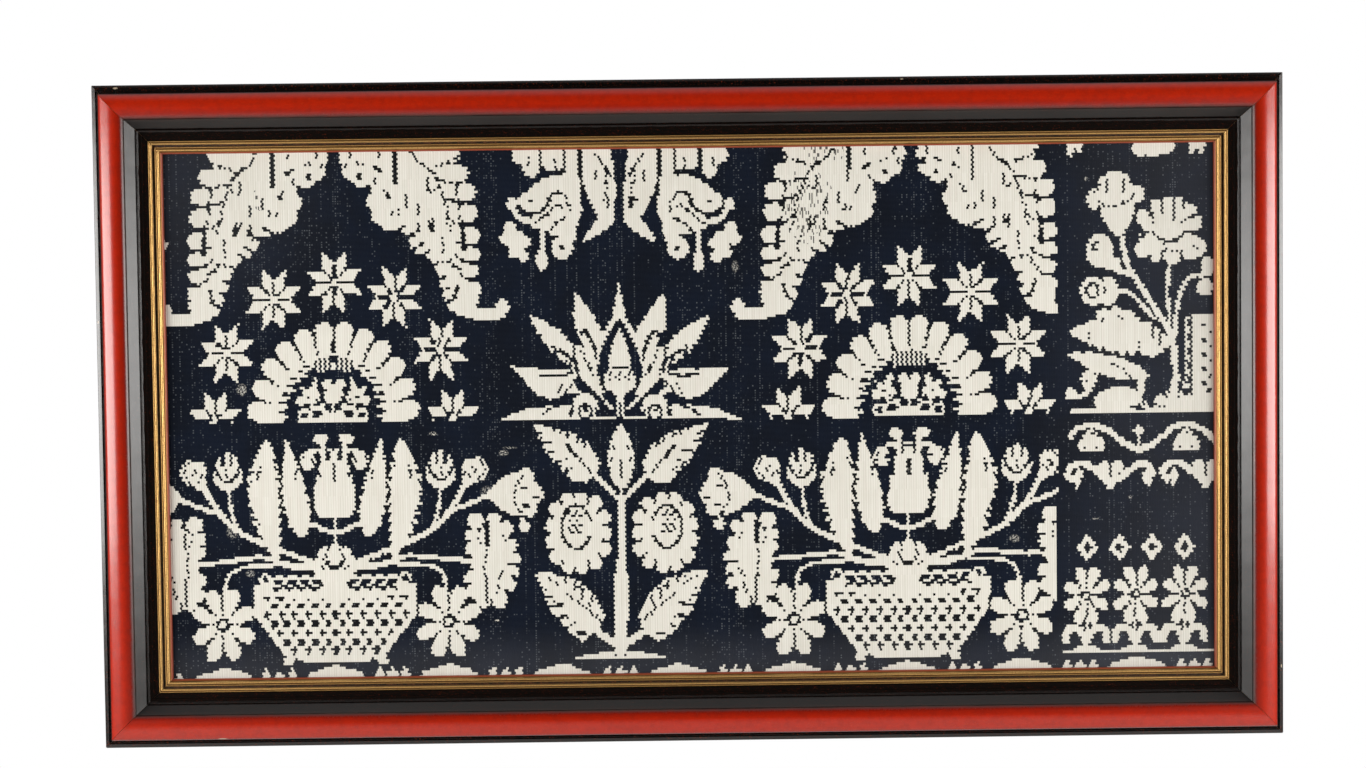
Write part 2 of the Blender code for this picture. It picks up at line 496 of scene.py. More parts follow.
@dataclass(kw_only=True)
class Sticks:
    """Four mitred sticks with one section, each a piece that stands for its CAD node."""

    prefix: str
    slot: str
    shown: bpy.types.Material
    hidden: bpy.types.Material
    smooth_angle: float = math.radians(32)

    def section(self) -> list[Point]:
        """The section's (inset, height) points in metres, in order round it."""
        raise NotImplementedError

    def is_hidden(self, centre: Vector, normal: Vector) -> bool:
        """Whether a face of the stick along the top is bare wood."""
        return normal.y > 0.5 or abs(normal.x) > 0.5

    def stick(self, side: Side) -> bpy.types.Object:
        """Sweeps, mitres and turns one stick.

        Args:
            side: the side of the frame that it lies on.

        Returns:
            The finished piece.
        """
        mesh = bmesh.new()
        start = [mesh.verts.new((-side.length / 2, -height, side.reach - inset))
                 for inset, height in self.section()]
        run = bmesh.ops.extrude_face_region(mesh, geom=[mesh.faces.new(start)])
        far = [item for item in run["geom"] if isinstance(item, bmesh.types.BMVert)]
        bmesh.ops.translate(mesh, verts=far, vec=(side.length, 0.0, 0.0))
        for sign in (-1, 1):
            corner = Vector((sign * (side.length / 2 - GAP / math.sqrt(2)), 0.0, side.reach))
            cut = bmesh.ops.bisect_plane(
                mesh, geom=mesh.verts[:] + mesh.edges[:] + mesh.faces[:], plane_co=corner,
                plane_no=Vector((sign, 0.0, -1.0)).normalized(), clear_outer=True,
            )
            rim = [item for item in cut["geom_cut"] if isinstance(item, bmesh.types.BMEdge)]
            bmesh.ops.contextual_create(mesh, geom=rim)
        bmesh.ops.recalc_face_normals(mesh, faces=mesh.faces[:])
        for face in mesh.faces:
            face.smooth = True
            face.material_index = int(self.is_hidden(face.calc_center_median(), face.normal))
        bmesh.ops.rotate(mesh, verts=mesh.verts[:], cent=(0.0, 0.0, 0.0), matrix=side.turn)
        bmesh.ops.recalc_face_normals(mesh, faces=mesh.faces[:])
        name = f"{self.prefix}_{side.name.lower()}"
        piece = add_piece(name + "_dressed", mesh, (self.shown, self.hidden), name)
        piece.data.set_sharp_from_angle(angle=self.smooth_angle)
        return piece

    def build(self) -> list[bpy.types.Object]:
        """Makes all four sticks."""
        return [self.stick(side) for side in Side]


@dataclass(kw_only=True)
class Moulding(Sticks):
    """The outer frame: low lip, cove, lacquered cushion, steep bevel, bead, ledge and rabbet."""

    prefix: str = "frame"
    slot: str = "lacquered_moulding"
    face: float = 0.0554
    lip: tuple[float, float, float] = (0.0042, 0.0112, 0.0128)
    lip_leans: tuple[float, float] = (34.0, 8.0)
    lip_start_share: float = 0.05
    lip_run_share: float = 0.86
    cove_end: float = 0.0100
    cove_height: float = 0.0256
    cushion: tuple[float, float, float, float] = (0.0104, 0.0358, 0.0262, 0.0326)
    cushion_tilt: float = 0.0020
    bevel: Point = (0.0436, 0.0202)
    bead: tuple[float, float, float, float] = (0.0446, 0.0468, 0.0192, 0.0204)
    ledge: tuple[Point, ...] = ((0.0472, 0.0189), (0.0500, 0.0188), (0.0506, 0.0180))
    rabbet: Point = (0.0485, 0.0130)

    def outer_lip(self, steps: int = 12) -> list[Point]:
        """The lip: a broad round that leans outwards and falls steeply to the cove."""
        width, foot, top = self.lip
        steep, flat = (math.radians(lean) for lean in self.lip_leans)
        radius = width * self.lip_run_share / (math.sin(steep) - math.sin(flat))
        points = [(0.0, foot)]
        for step in range(steps + 1):
            lean = steep + (flat - steep) * step / steps
            points.append((width * self.lip_start_share + radius * (math.sin(steep) - math.sin(lean)),
                           top - radius * (math.cos(flat) - math.cos(lean))))
        return points + [(width, foot)]

    def section(self) -> list[Point]:
        """The moulding's section, with finer curves than its solid."""
        width, foot, _ = self.lip
        lip = self.outer_lip()
        cove = []
        for step in range(1, 15):
            angle = math.pi / 2 * step / 14
            cove.append((width + (self.cove_end - width) * math.sin(angle),
                         self.cove_height - (self.cove_height - foot) * math.cos(angle)))
        start, end, low, crest = self.cushion
        cushion = ellipse_half(start, end, low, crest, 44, self.cushion_tilt)
        bead_start, bead_end, bead_foot, bead_top = self.bead
        bead = ellipse_half(bead_start, bead_end, bead_foot, bead_top, 9)
        sight_height = self.ledge[-1][1]
        inner = eased([self.bevel, bead[0]], 0.0003)
        edge = eased(
            [bead[-1], *self.ledge, (self.face, sight_height), (self.face, self.rabbet[1])], 0.0004
        )
        rabbet = [(self.rabbet[0], self.rabbet[1]), (self.rabbet[0], 0.0)]
        return [(0.0, 0.0)] + lip + cove + cushion + inner + bead[1:-1] + edge + rabbet

    def is_hidden(self, centre: Vector, normal: Vector) -> bool:
        """The back, the mitres and the rabbet are bare."""
        in_rabbet = FRAME_HEIGHT / 2 - centre.z > self.rabbet[0] - GAP and centre.y > -self.rabbet[1] - GAP
        return super().is_hidden(centre, normal) or in_rabbet


@dataclass(kw_only=True)
class Slip(Sticks):
    """The gilt slip: a hidden flange, two reeded bands with a groove between them and a thin inner lip."""

    prefix: str = "slip"
    slot: str = "gilt_slip"
    flange: tuple[float, float, float] = (0.0495, 0.0080, 0.0127)
    sight_edge: float = 0.0557
    outer_reed: tuple[float, float, float] = (0.0598, 0.0166, 0.0180)
    groove_height: float = 0.0136
    inner_reed: tuple[float, float, float, float] = (0.0614, 0.0660, 0.0134, 0.0152)
    lip: tuple[float, float, float] = (0.0665, 0.0682, 0.0122)
    lip_drop: float = 0.0020
    bead_share: float = 0.40
    valley_share: float = 0.15

    def reed(self, start: float, end: float, foot: float, top: float) -> list[Point]:
        """A reeded band: a narrow raised bead on its outer side and a wider flat round beside it."""
        split = start + (end - start) * self.bead_share
        valley = foot + (top - foot) * self.valley_share
        bead = ellipse_half(start, split, foot, top, 8, valley - foot)
        return bead + ellipse_half(split, end, valley, top - 0.0002, 8, foot - valley)[1:]

    def section(self) -> list[Point]:
        """The slip's section, with finer reeds than its solid."""
        start, back, flange_top = self.flange
        end, foot, top = self.outer_reed
        inner_start, inner_end, inner_foot, inner_top = self.inner_reed
        lip_start, lip_end, lip_height = self.lip
        lip = eased([
            (inner_end, inner_foot), (lip_start, lip_height),
            (lip_end, lip_height - self.lip_drop / 2), (lip_end, back),
        ], 0.0005)
        return (
            [(start, back), (start, flange_top), (self.sight_edge, flange_top)]
            + self.reed(self.sight_edge, end, foot, top)
            + [(end, self.groove_height), (inner_start, self.groove_height)]
            + self.reed(inner_start, inner_end, inner_foot, inner_top)[:-1]
            + lip
        )


def add_piece(
    name: str,
    mesh: bmesh.types.BMesh,
    materials: Iterable[bpy.types.Material],
    replaced: str,
) -> bpy.types.Object:
    """Makes a finished piece from a mesh that is already in its place.

    Args:
        name: the piece's name.
        mesh: its mesh, in the frame's own coordinates. It is freed.
        materials: its materials, in the order of the faces' numbers.
        replaced: the CAD node that it stands for.

    Returns:
        The piece, riding on the frame's one body.
    """
    data = bpy.data.meshes.new(name)
    mesh.to_mesh(data)
    mesh.free()
    for material in materials:
        data.materials.append(material)
    piece = bpy.data.objects.new(name, data)
    bpy.context.scene.collection.objects.link(piece)
    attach(piece, BODY)
    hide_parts(replaced)
    return piece


def curve_through(points: Sequence[Point], pitch: float) -> list[Point]:
    """A smooth curve through points, read at an even pitch.

    Args:
        points: the points that it passes through.
        pitch: the distance between the points returned.

    Returns:
        Points along the curve, its ends among them.
    """
    if len(points) == 2:
        bent = np.array(points, float)
    else:
        knots = np.array([points[0], *points, points[-1]], float)
        runs = []
        for a, b, c, d in zip(knots, knots[1:], knots[2:], knots[3:]):
            share = np.linspace(0.0, 1.0, 9)[:-1, None]
            runs.append(0.5 * (2 * b + (c - a) * share + (2 * a - 5 * b + 4 * c - d) * share**2
                               + (3 * b - a - 3 * c + d) * share**3))
        bent = np.vstack([*runs, knots[-1:]])
    steps = np.r_[0.0, np.cumsum(np.hypot(*np.diff(bent, axis=0).T))]
    places = np.linspace(0.0, steps[-1], max(2, round(steps[-1] / pitch) + 1))
    return list(zip(np.interp(places, steps, bent[:, 0]), np.interp(places, steps, bent[:, 1])))


@dataclass
class Chart:
    """A field of weaving steps in millimetres; light is True where the undyed layer is on the face."""

    x: np.ndarray
    z: np.ndarray
    light: np.ndarray

    def about(self, x: float, z: float = 0.0, flip: bool = False) -> "Chart":
        """The same field seen from another origin, its X turned round if asked."""
        across = x - self.x if flip else self.x - x
        return Chart(across, self.z - z, self.light)

    def halves(self) -> tuple["Chart", "Chart"]:
        """The field turned round about X = 0, and the field as it is."""
        return self.about(0.0, 0.0, True), self

    def weave(self, *areas: Area) -> None:
        """Brings the undyed layer to the face over the areas."""
        for area in areas:
            self.light |= area

    def cut(self, *areas: Area) -> None:
        """Brings the dyed layer to the face over the areas."""
        for area in areas:
            self.light &= ~area

    def oval(self, x: float, z: float, rx: float, rz: float | None = None, turn: float = 0.0) -> Area:
        """An ellipse about (x, z), turned by degrees."""
        angle = math.radians(turn)
        across, up = self.x - x, self.z - z
        along = across * math.cos(angle) + up * math.sin(angle)
        beside = up * math.cos(angle) - across * math.sin(angle)
        return (along / rx) ** 2 + (beside / (rz or rx)) ** 2 <= 1.0

    def box(self, x0: float, z0: float, x1: float, z1: float) -> Area:
        """The upright rectangle between two corners."""
        across = (self.x >= min(x0, x1)) & (self.x <= max(x0, x1))
        return across & (self.z >= min(z0, z1)) & (self.z <= max(z0, z1))

    def polygon(self, *points: Point) -> Area:
        """The inside of a closed outline."""
        inside = np.zeros(self.x.shape, bool)
        for (x0, z0), (x1, z1) in zip(points, points[1:] + points[:1]):
            if z0 == z1:
                continue
            crosses = (self.z > min(z0, z1)) & (self.z <= max(z0, z1))
            inside ^= crosses & (self.x < x0 + (self.z - z0) * (x1 - x0) / (z1 - z0))
        return inside

    def stroke(self, *points: Point, width: float, end: float | None = None) -> Area:
        """A smooth line through points, its width running to another at its end."""
        path = curve_through(points, 3.0)
        area = np.zeros(self.x.shape, bool)
        last = len(path) - 1
        for number, ((x0, z0), (x1, z1)) in enumerate(zip(path, path[1:])):
            run = max((x1 - x0) ** 2 + (z1 - z0) ** 2, 1e-9)
            share = np.clip(((self.x - x0) * (x1 - x0) + (self.z - z0) * (z1 - z0)) / run, 0.0, 1.0)
            here = width + ((end if end is not None else width) - width) * number / max(last - 1, 1)
            area |= np.hypot(self.x - x0 - share * (x1 - x0), self.z - z0 - share * (z1 - z0)) <= here / 2
        return area

    def blade(
        self, base: Point, tip: Point, width: float, fullness: float = 1.0, blunt: float = 1.0,
        bend: float = 0.0, teeth: int = 0, bite: float = 0.16,
    ) -> Area:
        """A petal or leaf.

        Args:
            base: where it starts.
            tip: where it ends.
            width: its greatest width.
            fullness: 1 puts that width halfway, less nearer the base.
            blunt: 1 gives a pointed lens, 0.5 an oval.
            bend: how far its middle bulges to the left of the way from base to tip.
            teeth: how many teeth each edge has.
            bite: the teeth's depth as a share of the width.

        Returns:
            The area.
        """
        run = math.hypot(tip[0] - base[0], tip[1] - base[1])
        ux, uz = (tip[0] - base[0]) / run, (tip[1] - base[1]) / run
        share = ((self.x - base[0]) * ux + (self.z - base[1]) * uz) / run
        inside = (share > 0.0) & (share < 1.0)
        share = np.clip(share, 1e-6, 1.0 - 1e-6)
        beside = (self.z - base[1]) * ux - (self.x - base[0]) * uz - bend * np.sin(math.pi * share)
        half = width / 2 * np.sin(math.pi * share**fullness) ** blunt
        if teeth:
            half = half * (1.0 - bite * (share * teeth % 1.0))
        return inside & (np.abs(beside) <= half)

    def dots(self, *points: Point, pitch: float = 4.0, size: float = 2.8) -> Area:
        """A smooth line of small squares through points."""
        area = np.zeros(self.x.shape, bool)
        for x, z in curve_through(points, pitch):
            area |= (np.abs(self.x - x) <= size / 2) & (np.abs(self.z - z) <= size / 2)
        return area

    def ring(self, x: float, z: float, rx: float, rz: float, width: float, turn: float = 0.0) -> Area:
        """An elliptical ring of one width."""
        return self.oval(x, z, rx, rz, turn) & ~self.oval(x, z, rx - width, rz - width, turn)

    def lobes(self, points: Sequence[Point], radius: float) -> Area:
        """Round lobes of one size."""
        area = np.zeros(self.x.shape, bool)
        for x, z in points:
            area |= self.oval(x, z, radius)
        return area


def each(form: Callable[..., Area], *places: Sequence[object], **sizes: float) -> list[Area]:
    """One form of a chart at several places."""
    return [form(*place, **sizes) for place in places]


SLIT = 2.8
"""The width of a fine dark line, in millimetres."""


@dataclass(frozen=True)
class Star:
    """An eight-pointed star of lozenges, parted by slits along its axes and dots along its diagonals."""

    x: float
    z: float
    reach: float = 27.5
    rise: float = 1.10

    def weave(self, chart: Chart) -> None:
        """Weaves the star into a chart."""
        chart = chart.about(self.x, self.z)
        chart = Chart(chart.x, chart.z / self.rise, chart.light)
        near, far = self.reach * 0.42, self.reach
        valley, notch = self.reach * 0.63, self.reach * 0.40
        for sx in (-1, 1):
            for sz in (-1, 1):
                chart.weave(*each(chart.polygon, ((0, 0), (0, sz * valley), (sx * near, sz * far),
                                (sx * notch, sz * notch)), ((0, 0), (sx * valley, 0), (sx * far, sz * near),
                                (sx * notch, sz * notch))))
                chart.cut(chart.dots((sx * 4, sz * 4), (sx * notch * 1.05, sz * notch * 1.05), pitch=3.3))
        arm = valley * 0.98
        chart.cut(*each(chart.box, (-SLIT / 2, 3.5, SLIT / 2, arm), (-SLIT / 2, -arm, SLIT / 2, -3.5),
                      (3.5, -SLIT / 2, arm, SLIT / 2), (-arm, -SLIT / 2, -3.5, SLIT / 2)))


@dataclass(frozen=True)
class Flower:
    """A flower of eight petals with a dark ring at its heart."""

    x: float
    z: float
    rx: float = 32.0
    rz: float = 37.0
    petal: float = 15.0
    heart: float = 7.0

    def weave(self, chart: Chart) -> None:
        """Weaves the flower into a chart."""
        chart = chart.about(self.x, self.z)
        chart.weave(chart.oval(0, 0, self.rx * 0.52, self.rz * 0.52))
        for number in range(8):
            angle = math.radians(22.5 + 45 * number)
            tip = (self.rx * 1.04 * math.cos(angle), self.rz * 1.04 * math.sin(angle))
            chart.weave(chart.blade((0, 0), tip, self.petal, 2.3, 0.45))
        for number in range(8):
            angle = math.radians(45 * number)
            near, far = (0.36, 0.62) if number % 2 else (0.30, 0.58)
            chart.cut(chart.dots((self.rx * near * math.cos(angle), self.rz * near * math.sin(angle)),
                          (self.rx * far * math.cos(angle), self.rz * far * math.sin(angle)), pitch=3.8,
                          size=2.6))
        chart.cut(chart.ring(0, 0, self.heart, self.heart, 3))


@dataclass(frozen=True)
class Fan:
    """The fan-shaped arch of round petals over a small potted flower."""

    base: float = -7.0
    rx: float = 87.0
    rz: float = 101.0
    petals: int = 12
    petal: float = 21.5
    opening: Point = (50.0, 61.0)
    fringe: float = 8.5

    def weave(self, chart: Chart) -> None:
        """Weaves the half of the fan right of the basket's axis, and its mirrored half with it."""
        chart = chart.about(0.0, self.base)
        above = chart.z >= 0.0
        chart.weave(chart.oval(0, 0, self.rx - 20, self.rz - 21) & above)
        step = 180.0 / self.petals
        for number in range(self.petals):
            angle = math.radians(step * (number + 0.5))
            tip = (self.rx * math.cos(angle), self.rz * math.sin(angle))
            chart.weave(chart.blade((0, 0), tip, self.petal, 3.4, 0.42) & above)
        for number in range(1, self.petals):
            angle = math.radians(step * number)
            x, z = math.cos(angle), math.sin(angle)
            middle, near = 0.80, (0.70 if abs(number - self.petals / 2) < 2.1 else 0.74)
            chart.cut(chart.stroke((self.rx * x, self.rz * z), (self.rx * middle * x, self.rz * middle * z),
                          width=4, end=2.6),
                      chart.dots((self.rx * middle * x, self.rz * middle * z),
                          (self.rx * near * x, self.rz * near * z), pitch=3.8))
        width, height = self.opening
        chart.cut(chart.oval(0, 0, width, height) & above)
        self.comb(chart, above)
        self.pot(chart)

    def comb(self, chart: Chart, above: Area) -> None:
        """Weaves the fringe that hangs into the opening and the teeth down its sides."""
        width, height = self.opening
        for number in range(-3, 4):
            x = number * 5.0
            top = height * math.sqrt(1 - (x / width) ** 2)
            chart.weave(chart.box(x - 1.2, top - self.fringe, x + 1.2, top + 1))
            chart.cut(chart.box(x + 1.2, top - 2, x + 3.8, top + 5))
        for number in range(7):
            angle = math.radians(6 + 9 * number)
            x, z = width * math.cos(angle), height * math.sin(angle)
            for half in chart.halves():
                half.weave(half.box(x - 4.6, z - 1.3, x + 2, z + 1.3) & above)
                half.cut(half.box(x - 1, z + 2.2, x + 5, z + 5) & above)

    def pot(self, chart: Chart) -> None:
        """Weaves the small flower under the fan."""
        chart.weave(chart.oval(0, 28, 9.5, 10.5),
                    *each(chart.lobes, (((-6.5, 38), (6.5, 38)), 5.4), (((-6, 7), (6, 7)), 4.4)),
                    chart.box(-1.6, 3, 1.6, 18), chart.box(-34, 0, 34, 3.4))
        chart.cut(*each(chart.dots, ((-9.5, 31), (-9, 31.2)), ((9.5, 31), (9, 31.2)), pitch=4.8, size=2.4),
                  chart.box(-1.4, 38, 1.4, 44))
        for half in chart.halves():
            half.weave(half.oval(21, 25, 8, 6.6), half.oval(32, 22, 4.6, 5.4),
                       *each(half.blade, ((22, 26), (17.5, 45), 7, 0.8), ((21, 24), (33, 36), 7.5, 0.9)),
                       half.ring(16, 9, 8.6, 7.2, 3.2), half.ring(29, 7, 6.6, 6.6, 3),
                       half.box(20, 14, 22.6, 20), half.box(8, 15, 14, 18))
            half.cut(*each(half.dots, ((24, 26), (24.3, 26)), ((17, 22), (17.2, 22)), pitch=4.8, size=2.4))


@dataclass(frozen=True)
class Plume:
    """The great drooping plume beside the basket's axis, scalloped, with dark veins and a hooked foot."""

    spine: tuple[Point, ...] = ((88.0, 276.0), (99.0, 215.0), (112.0, 165.0), (125.0, 135.0), (131.0, 114.0))
    inner_lobes: tuple[tuple[float, float, float], ...] = (
        (15, 256, 10), (18, 243, 9.5), (28, 236, 9.5), (42, 212, 9.5), (46, 199, 9.5), (55, 193, 9.5),
        (67, 190, 9.5), (77, 187, 9.0), (88, 175, 8.5), (92, 165, 9), (101, 160, 8.5), (110, 142, 7.0),
        (113, 131, 7.0), (117, 119, 7.5), (122, 109, 8.0),
    )
    outer_lobes: tuple[tuple[float, float, float], ...] = (
        (117, 259, 9.5), (125, 240, 9.5), (133, 221, 10), (135, 200, 9.5), (137, 177, 9.0),
        (138, 158, 8.0), (138, 142, 7.5), (139, 124, 8.5),
    )
    trails: tuple[tuple[Point, ...], ...] = (
        ((74, 268), (83, 253), (93, 246), (100, 239), (105, 228), (109, 215), (113, 203), (114, 192),
         (117, 183)),
        ((118, 230), (107, 232)), ((116, 251), (104, 247)), ((126, 211), (112, 214)),
        ((129, 188), (122, 189), (114, 196)), ((131, 168), (124, 171)), ((132, 151), (124, 155), (121, 159)),
        ((133, 134), (127, 139), (123, 147)), ((110, 151), (118, 152), (120, 146)),
        ((125, 127), (122, 118), (119, 113)), ((50, 224), (54, 217)), ((108.5, 175), (108.5, 160)),
        ((94, 192), (95, 187)), ((12, 250), (12, 247)), ((46, 260), (46, 257)), ((42, 245), (47, 241)),
        ((29, 249), (24, 251)), ((25, 239), (25, 236)), ((104, 226), (96, 222)), ((58, 202), (58, 200)),
        ((128, 260), (121, 254)), ((64, 204), (65, 200)),
    )

    def weave(self, chart: Chart) -> None:
        """Weaves the plume right of the basket's axis."""
        chart.weave(chart.stroke(*self.spine, width=58, end=28), chart.box(12, 247, 96, 275),
                    *each(chart.oval, (67, 220, 31, 36), (33, 246, 20, 16), (90, 180, 16, 22)))
        for x, z, radius in self.inner_lobes + self.outer_lobes:
            chart.weave(chart.oval(x, z, radius))
        chart.weave(chart.stroke((126, 103), (150, 98), (167, 99), width=11.5),
                    chart.stroke((166, 99), (172, 104), (169, 110), width=8), chart.oval(167, 106, 5.5, 6))
        chart.cut(chart.box(-4.2, 236, 4.2, 275))
        self.veins(chart)

    def veins(self, chart: Chart) -> None:
        """Cuts the dark slits and dots between the plume's lobes and along its ribs."""
        for (x0, z0, r0), (x1, z1, _) in zip(self.outer_lobes, self.outer_lobes[1:]):
            z = (z0 + z1) / 2
            edge = max(x0, x1) + r0 * 0.5
            chart.cut(chart.polygon((edge + 11, z - 4.6), (edge - 8, z - 1.2), (edge - 8, z + 1.2),
                          (edge + 11, z + 4.6)))
        for (x0, z0, _), (x1, z1, _) in zip(self.inner_lobes[6:], self.inner_lobes[7:]):
            x, z = (x0 + x1) / 2, (z0 + z1) / 2
            chart.cut(chart.stroke((x - 13, z - 8), (x - 1, z), width=3.6, end=2.6))
        for x, top, bottom, width in (
            (61.5, 275, 227, 3.6), (16, 275, 255, 2.6), (93, 236, 222, 2.8), (83.5, 210, 198, 2.8),
            (84, 191, 180, 2.8), (98.5, 195, 180, 2.8), (129.5, 180, 163, 2.8), (71, 219, 206, 2.6),
            (40, 236, 230, 2.8), (80, 181, 176, 2.8),
        ):
            chart.cut(chart.box(x - width / 2, bottom, x + width / 2, top))
        for trail in self.trails:
            chart.cut(chart.dots(*trail, pitch=3.9, size=3))


@dataclass(frozen=True)
class Basket:
    """A deep checked basket with a scrolled rim and a scalloped rosette at its middle."""

    half_width: float = 82.5
    rim: float = -170.0
    shoulder: float = -201.0
    foot: float = -250.0
    foot_half_width: float = 48.0
    pitch: float = 14.0
    square_rows: tuple[float, ...] = (-192.0, -210.5, -229.0)
    cross_rows: tuple[float, ...] = (-201.5, -220.0, -237.5)

    def half_width_at(self, z: float) -> float:
        """How wide the bowl is on each side at a height."""
        fall = min(max((self.shoulder - z) / (self.shoulder - self.foot), 0.0), 1.0)
        return self.half_width + (self.foot_half_width - self.half_width) * fall

    def weave(self, chart: Chart) -> None:
        """Weaves bowl, checks, rim and rosette."""
        w, f = self.half_width, self.foot_half_width
        chart.weave(
            chart.polygon((-w, self.rim), (w, self.rim), (w, self.shoulder), (f + 3, self.foot + 8),
                (f + 6, self.foot - 1), (f - 4, self.foot - 1), (f - 8, self.foot + 5), (f - 16, self.foot),
                (16 - f, self.foot), (8 - f, self.foot + 5), (4 - f, self.foot - 1),
                (-f - 6, self.foot - 1), (-f - 3, self.foot + 8), (-w, self.shoulder)),
        )
        self.checks(chart)
        self.scrolls(chart)
        self.rosette(chart)

    def checks(self, chart: Chart) -> None:
        """Cuts alternating rows of squares and crosses."""
        for z in self.square_rows:
            count = int((self.half_width_at(z) - 7.0) / self.pitch + 0.5)
            for number in range(-count, count):
                x = (number + 0.5) * self.pitch
                chart.cut(chart.box(x - 3.1, z - 3.4, x + 3.1, z + 3.4))
        for z in self.cross_rows:
            count = int((self.half_width_at(z) - 9.0) / self.pitch)
            for number in range(-count, count + 1):
                x = number * self.pitch
                chart.cut(chart.box(x - 3.7, z - 1.3, x + 3.7, z + 1.3),
                          chart.box(x - 1.3, z - 3.8, x + 1.3, z + 3.8))
        top = self.square_rows[0] + 7.0
        for number in range(-5, 6):
            x = number * self.pitch
            if abs(number) > 3:
                chart.cut(chart.box(x - 4.2, top + 0.2, x + 4.2, top + 2.6),
                          chart.box(x - 1.6, top - 2.4, x + 1.6, top + 1))
            elif number:
                chart.cut(chart.box(x - 1.2, top - 1.8, x + 1.2, top + 0.6))

    def scrolls(self, chart: Chart) -> None:
        """Weaves the chain of scrolls along the rim and the notches under it."""
        for sign in (-1, 1):
            chart.cut(chart.box(sign * 12, self.rim - 4.6, sign * 62, self.rim + 1))
            for number in range(4):
                x = sign * (18.5 + number * 13.2)
                chart.weave(chart.stroke((x - 7, self.rim + 2), (x - 3.6, self.rim + 6.6),
                                (x + 3.6, self.rim + 6.6), (x + 7, self.rim + 2), width=3.2))
                chart.weave(chart.stroke((x + 6.6, self.rim + 2), (x + 3.4, self.rim - 1),
                                (x, self.rim - 1), width=2.6),
                            chart.box(x - 6, self.rim - 7, x - 3, self.rim - 3))
                chart.cut(chart.box(x + 1.6, self.rim - 7.4, x + 4.4, self.rim - 4))
            chart.weave(chart.ring(sign * 71, self.rim + 5, 6.2, 6.2, 3),
                        chart.box(sign * 62, self.rim - 2, sign * 68.4, self.rim + 2))

    def rosette(self, chart: Chart) -> None:
        """Weaves the rosette, its neck and its dark heart."""
        chart.weave(chart.box(-11.5, self.rim - 12, 11.5, self.rim + 9), chart.oval(0, -148, 12, 14),
                    chart.lobes(((0, -136), (-10.5, -140), (10.5, -140), (-15, -149), (15, -149),
                        (-13.5, -158), (13.5, -158)), 7))
        chart.cut(chart.box(-6.2, -153.2, 6.2, -150.4), chart.box(-3.8, -156, 3.8, -153),
                  *each(chart.dots, ((-7.4, -149), (-7, -149)), ((7.4, -149), (7, -149)), pitch=4.8),
                  *each(chart.dots, ((-6.5, -136), (-10, -146)), ((6.5, -136), (10, -146)), ((-14, -153.6),
                      (-10, -156)), ((14, -153.6), (10, -156)), size=2.4))


@dataclass(frozen=True)
class Tulip:
    """The tall tulip over the basket: body, curled petals, tall side petals and toothed outer plumes."""

    def weave(self, chart: Chart) -> None:
        """Weaves both halves of the tulip."""
        chart.weave(chart.box(-1.5, -130, 1.5, -92))
        for half in chart.halves():
            self.body(half)
            self.petals(half)
        chart.cut(chart.box(-3.6, -32, 3.6, -14), chart.box(-SLIT / 2, -67, SLIT / 2, -49))
        chart.weave(chart.box(-5.6, -36, 5.6, -33.4), chart.box(-3.2, -47, 3.2, -35))
        chart.cut(chart.box(-1.3, -37, 1.3, -34.6))

    def body(self, chart: Chart) -> None:
        """Weaves one side of the body, its stamen and its curl."""
        chart.weave(
            chart.blade((9.5, -104), (6, -33), 24, 0.58, 0.60),
            *each(chart.oval, (10.5, -88, 9.8, 10.5), (13, -23.5, 7.2, 5.4), (27, -46, 8, 9.6)),
            chart.box(8.4, -46, 12.4, -24), chart.stroke((12, -37), (17, -34.5), (24, -37), width=4.6),
        )
        chart.cut(chart.box(4.6, -45, 7.4, -31), chart.dots((21.5, -45), (21.8, -46), pitch=4.8, size=3.4),
                  chart.dots((31, -41), (33.5, -47), (31.5, -54), size=2.6),
                  chart.stroke((20, -52), (15.5, -58), (15.5, -64), width=3, end=2))

    def petals(self, chart: Chart) -> None:
        """Weaves one side's tall petal and toothed plume."""
        chart.weave(
            chart.stroke((1.2, -118), (12, -115.5), (19, -111), (27, -109.5), width=4.4),
            chart.blade((33, -122), (47.5, -21), 29, 0.60, 0.90, bend=-1, teeth=9, bite=0.24),
            chart.blade((59, -146), (67, -25), 36, 1.12, 0.60, bend=-7, teeth=13, bite=0.32),
            *each(chart.blade, ((73, -80), (79.5, -44), 9, 0.8), ((79, -92), (86, -56), 9, 0.8)),
        )
        chart.cut(*each(chart.dots, ((37.5, -56), (38, -63)), ((75, -52), (77, -64)), ((85, -92),
                      (82, -98)), ((79, -104), (76, -109))),
                  *each(chart.dots, ((52, -93), (50, -99)), ((84, -66), (87, -72)), ((56, -74),
                      (55.3, -80)), ((60, -48), (59, -52)), size=2.4))


